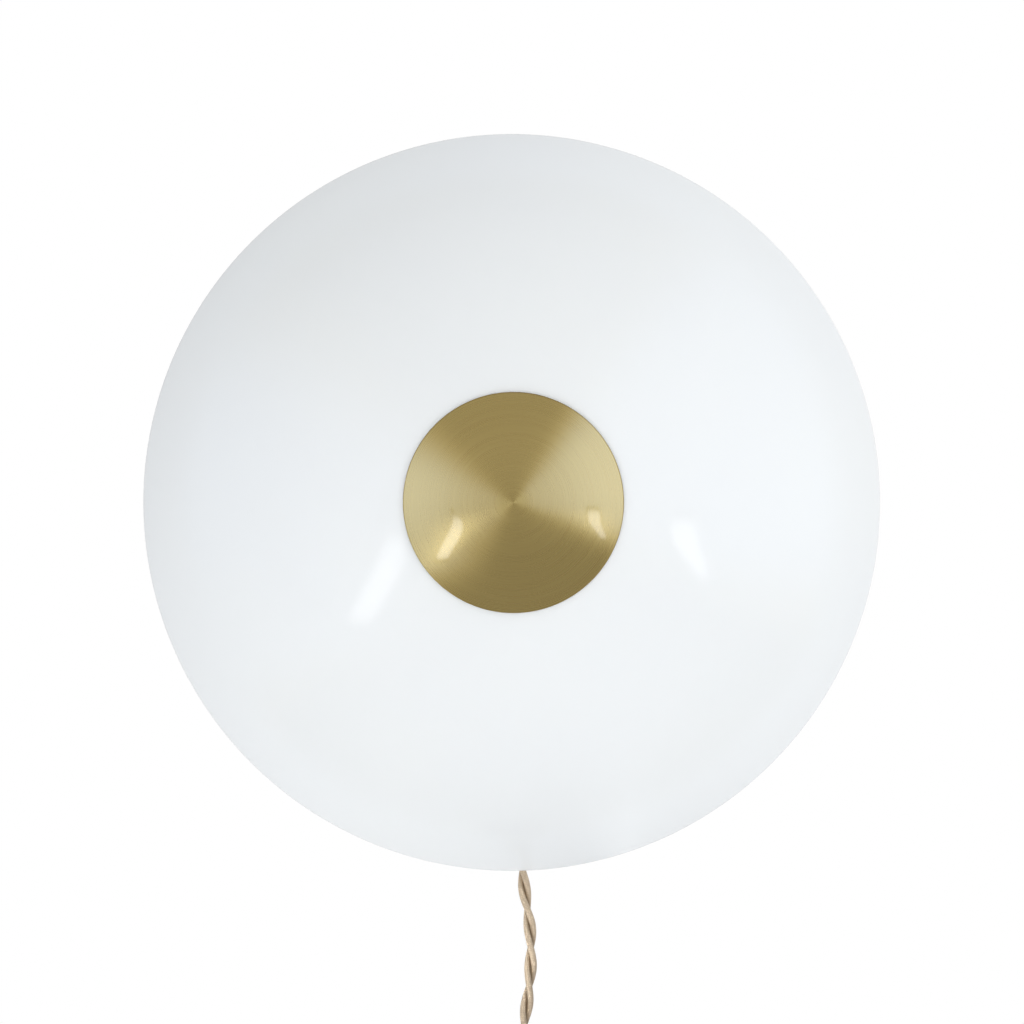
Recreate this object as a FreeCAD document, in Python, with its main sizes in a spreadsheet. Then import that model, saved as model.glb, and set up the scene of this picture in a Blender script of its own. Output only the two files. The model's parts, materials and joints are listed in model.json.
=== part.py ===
import FreeCAD, Part
import math
import os
import re
import Sketcher

# Wall lamp with an opal glass dish, a spun brass cap and a plug-in twisted cord.
# The origin is on the wall, on the lamp's axis. The front faces -Y and +Z is up.
# In a faced piece local X is the lamp's X, local Y points up and local Z is the depth in front of the wall.

Vector = FreeCAD.Vector
Rotation = FreeCAD.Rotation

SIZES = {
    # Glass dish: a flat ground seat, a shallow crown and a steeper bowl, one wall thick.
    "dish_radius": 175,
    "glass_wall": 4,
    "crown_radius": 220,
    "crown_reach": 90,
    "dish_rise": 93.5,
    "rim_stand": 17,
    "glass_seat_radius": 18,
    "glass_hole_radius": 6.5,
    # Brass cap with its threaded boss, and the gaskets on both sides of the glass.
    "cap_radius": 50,
    "cap_sphere_radius": 96,
    "cap_wall": 1.2,
    "cap_gap": 0.35,
    "boss_radius": 8,
    "solder_film": 0.05,
    "gasket_radius": 16,
    "gasket_thickness": 1.5,
    # Centre rod, its nuts and the tube that carries the glass.
    "rod_radius": 4.85,
    "rod_bore_radius": 3.2,
    "rod_rear_depth": 15,
    "rod_front_room": 1,
    "thread_clearance": 0.05,
    "hole_clearance": 0.25,
    "nut_corner_radius": 8.25,
    "nut_thickness": 4,
    "washer_radius": 11,
    "washer_thickness": 1.2,
    "spacer_radius": 7,
    "spacer_bore_radius": 5.2,
    "seat_washer_radius": 17,
    "seat_washer_thickness": 2,
    # Canopy: a spun cup against the wall.
    "canopy_radius": 63.5,
    "canopy_depth": 28,
    "canopy_wall": 1.2,
    "canopy_shoulder": 12,
    # Wall plate with two ears for the thumbscrews.
    "plate_room": 3,
    "plate_thickness": 1.5,
    "plate_hole_radius": 15,
    "wall_screw_spacing": 88.9,
    "wall_screw_hole_radius": 2.25,
    "ear_width": 12,
    "ear_height": 15,
    "ear_room": 1.3,
    "ear_overlap": 4,
    # Thumbscrews.
    "thumb_depth": 9,
    "thumb_shank_radius": 2,
    "thumb_shank_length": 8,
    "thumb_head_radius": 4,
    "thumb_head_length": 6,
    "thumb_chamfer": 0.6,
    "contact_gap": 0.1,
    # Socket bracket, a strip bent to a U.
    "bracket_width": 16,
    "bracket_thickness": 1.5,
    "bracket_reach": 24,
    "bracket_ear_room": 10,
    "lamp_depth": 45,
    # Lampholders, turned about the lamp axis of their own bulb.
    "socket_radius": 10,
    "socket_length": 27,
    "socket_bore_radius": 7,
    "socket_floor": 10,
    "socket_lip": 1,
    "nipple_radius": 4.85,
    "nipple_length": 6.5,
    "lead_bore_radius": 3,
    "socket_nut_thickness": 3.5,
    "shell_bore_radius": 6.3,
    "shell_end_room": 0.5,
    "contact_radius": 3.6,
    "contact_thickness": 1.9,
    # Bulbs: a globe on a small screw base.
    "bulb_length": 77,
    "globe_radius": 26,
    "globe_wall": 0.9,
    "neck_radius": 6.4,
    "neck_slope": 30,
    "neck_depth": 3,
    "base_radius": 5.9,
    "base_wall": 0.4,
    "base_start": 4,
    "base_length": 11,
    "collar_radius": 7.3,
    "collar_wall": 0.5,
    "collar_start": 16,
    "collar_end": 20,
    "tip_radius": 3,
    "tip_height": 1.2,
    "insulator_radius": 5.2,
    "stem_radius": 3,
    "stem_tip_radius": 1.2,
    "stem_height": 36,
    "stem_tip_height": 58,
    # Terminal block inside the canopy.
    "block_width": 22,
    "block_height": 14,
    "block_depth": 12,
    "block_drop": 33,
    "pole_offset": 5,
    "pole_bore_radius": 1.9,
    "pole_depth": 7.5,
    "terminal_screw_radius": 1.4,
    "terminal_screw_sink": 3.2,
    "terminal_screw_spacing": 7,
    "terminal_screw_room": 0.3,
    "strand_run_in": 4,
    "strand_end_room": 2,
    # Inner leads and their bushing.
    "lead_radius": 0.8,
    "lead_spacing": 2.0,
    "lead_spread": 1.1,
    "lead_run_in": 3,
    "lead_turn": 4,
    "lead_rise": 2.4,
    "bushing_drop": 17,
    "bushing_radius": 4.6,
    "bushing_bore_radius": 3.2,
    "bushing_flange_radius": 6.2,
    "bushing_flange_thickness": 1.5,
    # Cord and the grip that it leaves the canopy through.
    "cord_radius": 3,
    "strand_radius": 1.5,
    "strand_offset": 1.55,
    "grip_depth": 9,
    "grip_bore_radius": 3.4,
    "grip_thread_radius": 5,
    "grip_thread_length": 8,
    "grip_flange_radius": 6,
    "grip_flange_thickness": 3,
    "grip_barrel_radius": 5.4,
    "grip_tip_radius": 4.3,
    "grip_barrel_length": 20,
    "grip_nut_radius": 7.4,
    "grip_nut_thickness": 3,
    "grip_nut_room": 0.5,
    # Put-away coil of the cord, four layers deep, and its strap.
    "coil_outer_radius": 41,
    "coil_pitch": 6.45,
    "coil_rear_depth": 5,
    "coil_start_azimuth": 135,
    "coil_end_azimuth": 180,
    "tie_width": 8,
    "tie_thickness": 1,
    "tie_gap": 0.45,
    "tie_corner": 3,
    "tie_reach": 43.9,
    "tie_root": 23.4,
    "coil_lead_in": 17,
    "tail_length": 24,
    # In-line switch.
    "switch_length": 56,
    "switch_width": 22,
    "switch_thickness": 16,
    "switch_corner": 7,
    "switch_edge": 2.2,
    "switch_wall": 1.8,
    "switch_end_block": 8.5,
    "switch_bore_radius": 3.3,
    "window_length": 16.8,
    "window_width": 10.2,
    "rocker_length": 14,
    "rocker_width": 9.4,
    "rocker_rise": 4.2,
    "rocker_tilt": 12,
    "rocker_hub_radius": 3,
    "rocker_hub_wrap": 60,
    "rocker_flank_inset": 1.2,
    "pivot_height": 4,
    "pin_radius": 1,
    "pin_seat": 1,
    "case_screw_radius": 1.5,
    "case_screw_length": 10.5,
    "case_screw_head_radius": 2.8,
    "case_screw_head_thickness": 1.6,
    "case_screw_across": 7,
    "strip_thickness": 0.8,
    "strip_width": 5.6,
    "strip_start": 2.5,
    "strip_step": 12,
    "leaf_gap": 0.35,
    "leaf_reach": 3,
    "neutral_run_offset": 7.1,
    # Plug with two blades.
    "plug_radius": 16.5,
    "plug_neck_radius": 5.6,
    "plug_cover_length": 22,
    "plug_cover_wall": 2,
    "plug_shoulder": 7,
    "plug_lip": 4,
    "plug_chamfer": 1,
    "plug_base_thickness": 12,
    "blade_spacing": 12.7,
    "blade_thickness": 1.5,
    "blade_width_live": 6.3,
    "blade_width_neutral": 7.9,
    "blade_length": 17.5,
    "blade_root": 9,
    "plug_screw_radius": 1.5,
    "plug_screw_length": 13,
    "plug_screw_head_radius": 2.7,
    "plug_screw_head_thickness": 1.6,
    "plug_screw_across": 11.5,
}

# Counts of the coil: its layers, its turns in each, the share of a turn in which it climbs to the next
# layer, and the spans of two arcs in which each turn is drawn.
COIL_LAYERS = 4
TURNS_PER_LAYER = 2.5
CLIMB_TURNS = 0.5
SPANS_PER_TURN = 4
HEADING_STEP = 0.001
GAP_SAMPLES = 1600

# The share of a run that the arc at its corner takes up.
BEND_SHARE = 0.45

# Count of a nut's corners.
NUT_CORNERS = 6
EDGE_TOLERANCE = 0.001

# Values worked out from the sizes, in the order in which they build on each other.
DERIVED = {
    "crown_sine": "crown_reach / crown_radius",
    "crown_cosine": "sqrt(1 - crown_sine * crown_sine)",
    "seat_leg": "sqrt(crown_radius * crown_radius - glass_seat_radius * glass_seat_radius)",
    "glass_front": "rim_stand + dish_rise",
    "glass_back": "glass_front - glass_wall",
    "crown_centre_depth": "glass_front - seat_leg",
    "join_radius": "(crown_radius - glass_wall / 2) * crown_sine",
    "join_depth": "crown_centre_depth + (crown_radius - glass_wall / 2) * crown_cosine",
    "bowl_run": "dish_radius - glass_wall / 2 - join_radius",
    "bowl_fall": "join_depth - rim_stand - glass_wall / 2",
    "bowl_sag": "bowl_fall * crown_cosine - bowl_run * crown_sine",
    "bowl_middle_radius": "(bowl_run * bowl_run + bowl_fall * bowl_fall) / (2 * bowl_sag)",
    "bowl_radius": "bowl_middle_radius + glass_wall / 2",
    "bowl_centre_radius": "join_radius - bowl_middle_radius * crown_sine",
    "bowl_centre_depth": "join_depth - bowl_middle_radius * crown_cosine",
    "rim_sine": "crown_sine + bowl_run / bowl_middle_radius",
    "rim_cosine": "crown_cosine - bowl_fall / bowl_middle_radius",
    "rim_edge_radius": "dish_radius - glass_wall / 2 * (1 - rim_sine)",
    "inner_crown_radius": "crown_radius - glass_wall",
    "inner_leg": "seat_leg - glass_wall",
    "inner_seat_radius": "sqrt(inner_crown_radius * inner_crown_radius - inner_leg * inner_leg)",
    "cap_inner_radius": "cap_sphere_radius - cap_wall",
    "cap_sink": "sqrt(cap_sphere_radius * cap_sphere_radius - cap_radius * cap_radius)",
    "cap_inner_rim": "sqrt(cap_inner_radius * cap_inner_radius - cap_sink * cap_sink)",
    "glass_under_rim": "crown_centre_depth + sqrt(crown_radius * crown_radius - cap_inner_rim * cap_inner_rim)",
    "cap_rim_depth": "glass_under_rim + cap_gap",
    "cap_centre_depth": "cap_rim_depth - cap_sink",
    "boss_leg": "sqrt(cap_inner_radius * cap_inner_radius - boss_radius * boss_radius)",
    "boss_rear": "glass_front + gasket_thickness",
    "boss_front": "cap_centre_depth + boss_leg - solder_film",
    "rod_front_depth": "cap_centre_depth + cap_inner_radius - rod_front_room",
    "rod_hole_radius": "rod_radius + hole_clearance",
    "gasket_rear_depth": "glass_back - gasket_thickness",
    "seat_washer_rear": "gasket_rear_depth - seat_washer_thickness",
    "canopy_inner_radius": "canopy_radius - canopy_wall",
    "canopy_inner_depth": "canopy_depth - canopy_wall",
    "plate_radius": "canopy_inner_radius - plate_room",
    "bracket_front": "canopy_depth + bracket_thickness",
    "spacer_rear": "bracket_front + nut_thickness",
    "ear_reach": "canopy_inner_radius - ear_room",
    "neck_sine": "sin(neck_slope)",
    "neck_cosine": "cos(neck_slope)",
    "neck_arc": "(globe_radius * neck_sine - neck_radius) / (1 - neck_sine)",
    "globe_centre": "bulb_length - globe_radius",
    "neck_join": "globe_centre - (globe_radius + neck_arc) * neck_cosine",
    "neck_end": "collar_end - neck_depth",
    "bulb_seat": "socket_floor + contact_thickness + contact_gap",
    "block_rear": "plate_thickness",
    "grip_tip": "canopy_radius + contact_gap + grip_flange_thickness + grip_barrel_length",
    "grip_inner_end": "canopy_inner_radius - grip_thread_length",
    "grip_seat": "canopy_radius + contact_gap",
    "grip_nut_seat": "canopy_inner_radius - grip_nut_thickness - grip_nut_room",
    "terminal_screw_rear": "pole_depth + strand_radius + terminal_screw_room",
    "terminal_screw_front": "block_rear + block_depth - terminal_screw_sink",
    "tie_height": "tie_reach - tie_root",
    "tie_middle_radius": "(tie_reach + tie_root) / 2",
    "coil_climb": f"{COIL_LAYERS - 1} * coil_pitch",
    "tie_depth": "coil_climb + 2 * cord_radius + 2 * tie_gap",
    "coil_middle_depth": "coil_rear_depth + coil_climb / 2",
    "case_screw_along": "switch_length / 2 - switch_end_block / 2",
    "switch_half": "switch_thickness / 2",
    "cavity_half_length": "switch_length / 2 - switch_end_block",
    "cavity_half_width": "switch_width / 2 - switch_wall",
    "cavity_depth": "switch_half - switch_wall",
    "plug_length": "plug_cover_length + plug_base_thickness",
}

# The free cord's route in front of the wall, as (x, y, z) in millimetres, chosen by hand.
SWITCH_TOP = Vector(5.4, -9.0, -256.0)
CORD_UPPER = [
    Vector(0.0, -9.0, -104.0),
    Vector(1.4, -8.0, -130.0),
    Vector(4.4, -8.4, -158.0),
    Vector(5.4, -9.4, -182.0),
    Vector(9.0, -9.0, -203.0),
    Vector(9.2, -8.6, -221.0),
    Vector(6.2, -9.0, -235.0),
    Vector(5.4, -9.0, -247.0),
    SWITCH_TOP,
]
COIL_CENTRE = Vector(4.6, 0.0, -397.0)
CORD_LOWER = [
    Vector(5.4, -9.0, -323.0),
    Vector(1.9, -7.6, -336.5),
]


doc = FreeCAD.newDocument("WallLamp")
sheet = doc.addObject("Spreadsheet::Sheet", "Sizes")
for row, (alias, value) in enumerate(SIZES.items(), start=1):
    sheet.set(f"A{row}", str(value))
    sheet.setAlias(f"A{row}", alias)
doc.recompute()

pieces = []


def bound(text):
    """Write a formula of size names as an expression that reads the sheet."""
    def expand(match):
        name = match.group(0)
        if name in DERIVED:
            return f"({bound(DERIVED[name])})"
        if name in SIZES:
            return f"Sizes.{name}"
        return name
    return re.sub(r"[A-Za-z_]\w*", expand, str(text))


def size(text):
    """The present value of a formula of size names."""
    return float(sheet.evalExpression(bound(text)))


def place(piece, x="0", depth="0", up="0", rotation=None):
    """Bind a piece's place in front of the wall, and turn its local axes."""
    if rotation is None:
        rotation = Rotation(Vector(1, 0, 0), 90)
    piece.Placement = FreeCAD.Placement(Vector(0, 0, 0), rotation)
    piece.setExpression("Placement.Base.x", bound(x))
    piece.setExpression("Placement.Base.y", bound(f"-({depth})"))
    piece.setExpression("Placement.Base.z", bound(up))
    return piece


def keep(piece, label):
    """Name a finished piece and list it for export."""
    piece.Label = label
    pieces.append(piece)
    return piece


def new_body(label):
    return doc.addObject("PartDesign::Body", label)


def new_sketch(body, role, name):
    """A sketch on one of the body's own origin planes."""
    sketch = body.newObject("Sketcher::SketchObject", name)
    plane = [item for item in body.Origin.OriginFeatures if item.Role == role][0]
    sketch.AttachmentSupport = [(plane, "")]
    sketch.MapMode = "FlatFace"
    return sketch


def pin_point(sketch, index, end, x, y):
    """Tie one point of a sketch to the formulas x and y."""
    for kind, text, axis in (("DistanceX", x, -2), ("DistanceY", y, -1)):
        if str(text) == "0":
            sketch.addConstraint(Sketcher.Constraint("PointOnObject", index, end, axis))
            continue
        number = sketch.addConstraint(Sketcher.Constraint(kind, -1, 1, index, end, size(text)))
        sketch.setExpression(f"Constraints[{number}]", bound(text))


def arc_between(start, end, radius, side):
    """The short arc from start to end whose centre is on the left (side 1) or right (side -1)."""
    chord = end - start
    half = chord.Length / 2
    normal = Vector(-chord.y, chord.x, 0).normalize()
    centre = (start + end) / 2 + normal * side * math.sqrt(max(radius * radius - half * half, 0))
    first, last = (start, end) if side > 0 else (end, start)
    first_angle = math.atan2(first.y - centre.y, first.x - centre.x)
    last_angle = math.atan2(last.y - centre.y, last.x - centre.x)
    circle = Part.Circle(centre, Vector(0, 0, 1), radius)
    return Part.ArcOfCircle(circle, first_angle, last_angle)


def draw(sketch, corners):
    """Draw a closed outline. A corner is (x, y), or (x, y, radius, side) where an arc starts."""
    spots = [Vector(size(corner[0]), size(corner[1]), 0) for corner in corners]
    begin = sketch.GeometryCount
    ends = []
    for number, corner in enumerate(corners):
        start, end = spots[number], spots[(number + 1) % len(spots)]
        if len(corner) == 2:
            sketch.addGeometry(Part.LineSegment(start, end), False)
            ends.append((1, 2))
        else:
            sketch.addGeometry(arc_between(start, end, size(corner[2]), corner[3]), False)
            ends.append((1, 2) if corner[3] > 0 else (2, 1))
    for number, corner in enumerate(corners):
        following = (number + 1) % len(corners)
        sketch.addConstraint(Sketcher.Constraint(
            "Coincident", begin + number, ends[number][1], begin + following, ends[following][0]))
    for number, corner in enumerate(corners):
        pin_point(sketch, begin + number, ends[number][0], corner[0], corner[1])
        if len(corner) > 2:
            radius = sketch.addConstraint(Sketcher.Constraint("Radius", begin + number, size(corner[2])))
            sketch.setExpression(f"Constraints[{radius}]", bound(corner[2]))


def draw_circle(sketch, x, y, radius):
    circle = Part.Circle(Vector(size(x), size(y), 0), Vector(0, 0, 1), size(radius))
    index = sketch.addGeometry(circle, False)
    pin_point(sketch, index, 3, x, y)
    number = sketch.addConstraint(Sketcher.Constraint("Radius", index, size(radius)))
    sketch.setExpression(f"Constraints[{number}]", bound(radius))


def rounded_box(half_x, half_y, corner):
    """Corners of a rectangle about the sketch's origin with rounded corners."""
    x, y, r = f"({half_x})", f"({half_y})", f"({corner})"
    return [
        (f"{x} - {r}", f"-{y}", r, 1),
        (x, f"-{y} + {r}"),
        (x, f"{y} - {r}", r, 1),
        (f"{x} - {r}", y),
        (f"-{x} + {r}", y, r, 1),
        (f"-{x}", f"{y} - {r}"),
        (f"-{x}", f"-{y} + {r}", r, 1),
        (f"-{x} + {r}", f"-{y}"),
    ]


def box_corners(low_x, high_x, low_y, high_y):
    return [(low_x, low_y), (high_x, low_y), (high_x, high_y), (low_x, high_y)]


def revolve(body, sketch):
    """Turn a sketch a full round about the body's Z axis."""
    turned = body.newObject("PartDesign::Revolution", "turned")
    turned.Profile = sketch
    turned.ReferenceAxis = (sketch, ["V_Axis"])
    turned.Angle = 360
    body.Tip = turned
    return turned


def turned_body(label, corners):
    """A body turned from one outline of (radius, height along the axis)."""
    body = new_body(label)
    sketch = new_sketch(body, "XZ_Plane", f"{label}_outline")
    draw(sketch, corners)
    revolve(body, sketch)
    return body


def pad(body, sketch, length, both_ways=False, flipped=False):
    """Raise a sketch by a length, to both sides where both_ways is set."""
    raised = body.newObject("PartDesign::Pad", "pad")
    raised.Profile = sketch
    raised.setExpression("Length", bound(length))
    raised.SideType = "Symmetric" if both_ways else "One side"
    raised.Reversed = flipped
    body.Tip = raised
    return raised


def cut(body, sketch, length=None, both_ways=True, flipped=False):
    """Sink a sketch by a length, or right through where no length is given."""
    sunk = body.newObject("PartDesign::Pocket", "cut")
    sunk.Profile = sketch
    if length is None:
        sunk.Type = "ThroughAll"
    else:
        sunk.Type = "Length"
        sunk.setExpression("Length", bound(length))
    sunk.SideType = "Symmetric" if both_ways else "One side"
    sunk.Reversed = flipped
    body.Tip = sunk
    return sunk


def drill(body, role, x, y, radius, length=None, both_ways=True, flipped=False):
    sketch = new_sketch(body, role, "hole")
    draw_circle(sketch, x, y, radius)
    return cut(body, sketch, length, both_ways, flipped)


def round_rim(body, height, radius):
    """Round the edges that lie in one level plane of the body."""
    doc.recompute()
    base = body.Tip
    rims = []
    for number, edge in enumerate(base.Shape.Edges, start=1):
        box = edge.BoundBox
        if abs(box.ZMin - size(height)) < EDGE_TOLERANCE and box.ZLength < EDGE_TOLERANCE:
            rims.append(f"Edge{number}")
    rounding = body.newObject("PartDesign::Fillet", "rounding")
    rounding.Base = (base, rims)
    rounding.setExpression("Radius", bound(radius))
    body.Tip = rounding


def group(label, members):
    """Separate solids of one kind that share a node."""
    bundle = doc.addObject("Part::Compound", label)
    bundle.Links = members
    return keep(bundle, label)


def ring_prism(label, corner_radius, bore_radius, thickness):
    """A hexagon nut as a prism with a round bore."""
    prism = doc.addObject("Part::Prism", f"{label}_prism")
    prism.Polygon = NUT_CORNERS
    prism.setExpression("Circumradius", bound(corner_radius))
    prism.setExpression("Height", bound(thickness))
    bore = doc.addObject("Part::Cylinder", f"{label}_bore")
    bore.setExpression("Radius", bound(bore_radius))
    bore.setExpression("Height", bound(thickness))
    nut = doc.addObject("Part::Cut", label)
    nut.Base = prism
    nut.Tool = bore
    return nut


def tube_path(points):
    """Straight runs joined by tangent arcs, and the arcs' radii."""
    edges = []
    radii = []
    at = points[0]
    for before, corner, after in zip(points, points[1:], points[2:]):
        inward = corner - before
        outward = after - corner
        shorter = min(inward.Length, outward.Length)
        reach = BEND_SHARE * shorter
        half_turn = inward.getAngle(outward) / 2
        inward.normalize()
        outward.normalize()
        start = corner - inward * reach
        end = corner + outward * reach
        bisector = (outward - inward).normalize()
        radius = reach / math.tan(half_turn)
        middle = corner + bisector * (radius / math.cos(half_turn) - radius)
        edges.append(Part.LineSegment(at, start).toShape())
        edges.append(Part.Arc(start, middle, end).toShape())
        radii.append(radius)
        at = end
    edges.append(Part.LineSegment(at, points[-1]).toShape())
    return Part.Wire(edges), radii


def swept(path, radius):
    """A round solid swept along a wire."""
    start = path.OrderedEdges[0]
    heading = start.tangentAt(start.FirstParameter)
    ring = Part.Wire([Part.Circle(start.valueAt(start.FirstParameter), heading, radius).toShape()])
    return path.makePipeShell([ring], True, False)


def tube(points, radius, label):
    """A round tube along a route. Prints its tightest arc and how full its volume is."""
    path, radii = tube_path(points)
    solid = swept(path, radius)
    expected = math.pi * radius * radius * path.Length
    tightest = f"{min(radii):.1f}" if radii else "none"
    print(f"{label}: length {path.Length:.1f}, tightest arc {tightest}, volume share {solid.Volume / expected:.4f}")
    return solid


def plain(label, shape):
    """A piece whose shape is set here, with its place after it."""
    piece = doc.addObject("Part::Feature", label)
    piece.Shape = shape
    piece.Placement = FreeCAD.Placement()
    return keep(piece, label)


# Glass dish and cap

def glass_shade():
    glass = turned_body("glass_shade", [
        ("glass_hole_radius", "glass_back"),
        ("glass_hole_radius", "glass_front"),
        ("glass_seat_radius", "glass_front", "crown_radius", -1),
        ("crown_reach", "crown_centre_depth + crown_radius * crown_cosine", "bowl_radius", -1),
        ("rim_edge_radius", "bowl_centre_depth + bowl_radius * rim_cosine", "glass_wall / 2", -1),
        ("bowl_centre_radius + (bowl_radius - glass_wall / 2) * rim_sine + glass_wall / 2 * rim_cosine",
         "bowl_centre_depth + (bowl_radius - glass_wall / 2) * rim_cosine - glass_wall / 2 * rim_sine",
         "glass_wall / 2", -1),
        ("bowl_centre_radius + (bowl_radius - glass_wall) * rim_sine",
         "bowl_centre_depth + (bowl_radius - glass_wall) * rim_cosine", "bowl_radius - glass_wall", 1),
        ("inner_crown_radius * crown_sine",
         "crown_centre_depth + inner_crown_radius * crown_cosine", "inner_crown_radius", 1),
        ("inner_seat_radius", "glass_back"),
    ])
    keep(place(glass), "glass_shade")


def flat_ring(label, inner, outer, rear, thickness):
    """A flat ring about the lamp's axis, from its rear face forward."""
    ring = turned_body(label, box_corners(inner, outer, rear, f"{rear} + {thickness}"))
    keep(place(ring), label)


def cap():
    dome = turned_body("cap_dome", [
        ("0", "cap_centre_depth + cap_inner_radius"),
        ("0", "cap_centre_depth + cap_sphere_radius", "cap_sphere_radius", -1),
        ("cap_radius", "cap_rim_depth"),
        ("cap_inner_rim", "cap_rim_depth", "cap_inner_radius", 1),
    ])
    keep(place(dome), "cap_dome")
    flat_ring("cap_boss", "rod_radius + thread_clearance", "boss_radius", "boss_rear", "(boss_front - boss_rear)")


# Centre rod and what is stacked on it

def centre_stack():
    flat_ring("centre_rod", "rod_bore_radius", "rod_radius", "rod_rear_depth", "(rod_front_depth - rod_rear_depth)")
    nuts = []
    for name, rear in (("rod_nut_rear", "canopy_inner_depth - washer_thickness - nut_thickness"),
                       ("rod_nut_front", "bracket_front")):
        nut = ring_prism(name, "nut_corner_radius", "rod_radius + thread_clearance", "nut_thickness")
        nuts.append(place(nut, depth=rear))
    group("rod_nuts", nuts)
    flat_ring("rod_washer", "rod_hole_radius", "washer_radius",
              "canopy_inner_depth - washer_thickness", "washer_thickness")
    flat_ring("spacer_tube", "spacer_bore_radius", "spacer_radius", "spacer_rear", "(seat_washer_rear - spacer_rear)")
    flat_ring("seat_washer", "rod_hole_radius", "seat_washer_radius", "seat_washer_rear", "seat_washer_thickness")
    flat_ring("rear_gasket", "rod_hole_radius", "gasket_radius", "gasket_rear_depth", "gasket_thickness")
    flat_ring("front_gasket", "rod_hole_radius", "gasket_radius", "glass_front", "gasket_thickness")


def socket_bracket():
    bracket = new_body("socket_bracket")
    strip = new_sketch(bracket, "XZ_Plane", "strip")
    ear_front = "lamp_depth + bracket_ear_room"
    inner = "(bracket_reach - bracket_thickness)"
    draw(strip, [
        ("-bracket_reach", "canopy_depth"),
        ("bracket_reach", "canopy_depth"),
        ("bracket_reach", ear_front),
        (inner, ear_front),
        (inner, "bracket_front"),
        (f"-{inner}", "bracket_front"),
        (f"-{inner}", ear_front),
        ("-bracket_reach", ear_front),
    ])
    pad(bracket, strip, "bracket_width", both_ways=True)
    drill(bracket, "XY_Plane", "0", "0", "rod_hole_radius")
    drill(bracket, "YZ_Plane", "0", "lamp_depth", "nipple_radius + thread_clearance")
    keep(place(bracket), "socket_bracket")


# Wall side

def canopy():
    shell = turned_body("canopy", [
        ("rod_hole_radius", "canopy_inner_depth"),
        ("rod_hole_radius", "canopy_depth"),
        ("canopy_radius - canopy_shoulder", "canopy_depth", "canopy_shoulder", -1),
        ("canopy_radius", "canopy_depth - canopy_shoulder"),
        ("canopy_radius", "0"),
        ("canopy_inner_radius", "0"),
        ("canopy_inner_radius", "canopy_depth - canopy_shoulder", "canopy_shoulder - canopy_wall", 1),
        ("canopy_radius - canopy_shoulder", "canopy_inner_depth"),
    ])
    drill(shell, "YZ_Plane", "0", "thumb_depth", "thumb_shank_radius + hole_clearance")
    drill(shell, "XZ_Plane", "0", "grip_depth", "grip_thread_radius + contact_gap", both_ways=False, flipped=True)
    drill(shell, "XY_Plane", "0", "-bushing_drop", "bushing_radius + contact_gap")
    keep(place(shell), "canopy")


def wall_plate():
    plate = new_body("wall_plate")
    disc = new_sketch(plate, "XY_Plane", "disc")
    draw_circle(disc, "0", "0", "plate_radius")
    draw_circle(disc, "0", "0", "plate_hole_radius")
    for side in (-1, 1):
        draw_circle(disc, f"{side} * wall_screw_spacing / 2", "0", "wall_screw_hole_radius")
    pad(plate, disc, "plate_thickness")
    for side in (-1, 1):
        ear = new_sketch(plate, "XZ_Plane", "ear")
        root = f"{side} * (plate_radius - ear_overlap)"
        tip = f"{side} * ear_reach"
        inside = f"{side} * (ear_reach - plate_thickness)"
        draw(ear, [
            (root, "0"),
            (tip, "0"),
            (tip, "ear_height"),
            (inside, "ear_height"),
            (inside, "plate_thickness"),
            (root, "plate_thickness"),
        ])
        pad(plate, ear, "ear_width", both_ways=True)
    drill(plate, "YZ_Plane", "0", "thumb_depth", "thumb_shank_radius + thread_clearance")
    keep(place(plate), "wall_plate")


def canopy_screws():
    screws = []
    for name, side in (("left", -1), ("right", 1)):
        screw = turned_body(f"canopy_screw_{name}", [
            ("0", "-thumb_shank_length"),
            ("thumb_shank_radius", "-thumb_shank_length"),
            ("thumb_shank_radius", "0"),
            ("thumb_head_radius - thumb_chamfer", "0"),
            ("thumb_head_radius", "thumb_chamfer"),
            ("thumb_head_radius", "thumb_head_length - thumb_chamfer"),
            ("thumb_head_radius - thumb_chamfer", "thumb_head_length"),
            ("0", "thumb_head_length"),
        ])
        across = Rotation(Vector(0, 1, 0), 90 * side)
        screws.append(place(screw, f"{side} * (canopy_radius + contact_gap)", "thumb_depth", "0", across))
    group("canopy_screws", screws)


def terminal_block():
    block = new_body("terminal_block")
    outline = new_sketch(block, "XY_Plane", "outline")
    draw(outline, box_corners("-block_width / 2", "block_width / 2", "-block_height / 2", "block_height / 2"))
    pad(block, outline, "block_depth")
    screws = []
    for side in (-1, 1):
        pole = f"{side} * pole_offset"
        drill(block, "XZ_Plane", pole, "pole_depth - block_rear", "pole_bore_radius")
        for end in (-1, 1):
            up = f"{end} * terminal_screw_spacing / 2"
            drill(block, "XY_Plane", pole, up, "terminal_screw_radius + contact_gap")
            screw = turned_body("terminal_screw", box_corners(
                "0", "terminal_screw_radius", "terminal_screw_rear", "terminal_screw_front"))
            screws.append(place(screw, pole, "0", f"{up} - block_drop"))
    keep(place(block, "0", "block_rear", "-block_drop"), "terminal_block")
    group("terminal_screws", screws)


def wire_bushing():
    bushing = turned_body("wire_bushing", [
        ("bushing_bore_radius", "canopy_inner_depth - bushing_flange_thickness"),
        ("bushing_radius", "canopy_inner_depth - bushing_flange_thickness"),
        ("bushing_radius", "canopy_depth"),
        ("bushing_flange_radius", "canopy_depth"),
        ("bushing_flange_radius", "canopy_depth + bushing_flange_thickness"),
        ("bushing_bore_radius", "canopy_depth + bushing_flange_thickness"),
    ])
    keep(place(bushing, up="-bushing_drop"), "wire_bushing")


DOWNWARD = Rotation(Vector(1, 0, 0), 180)


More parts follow.
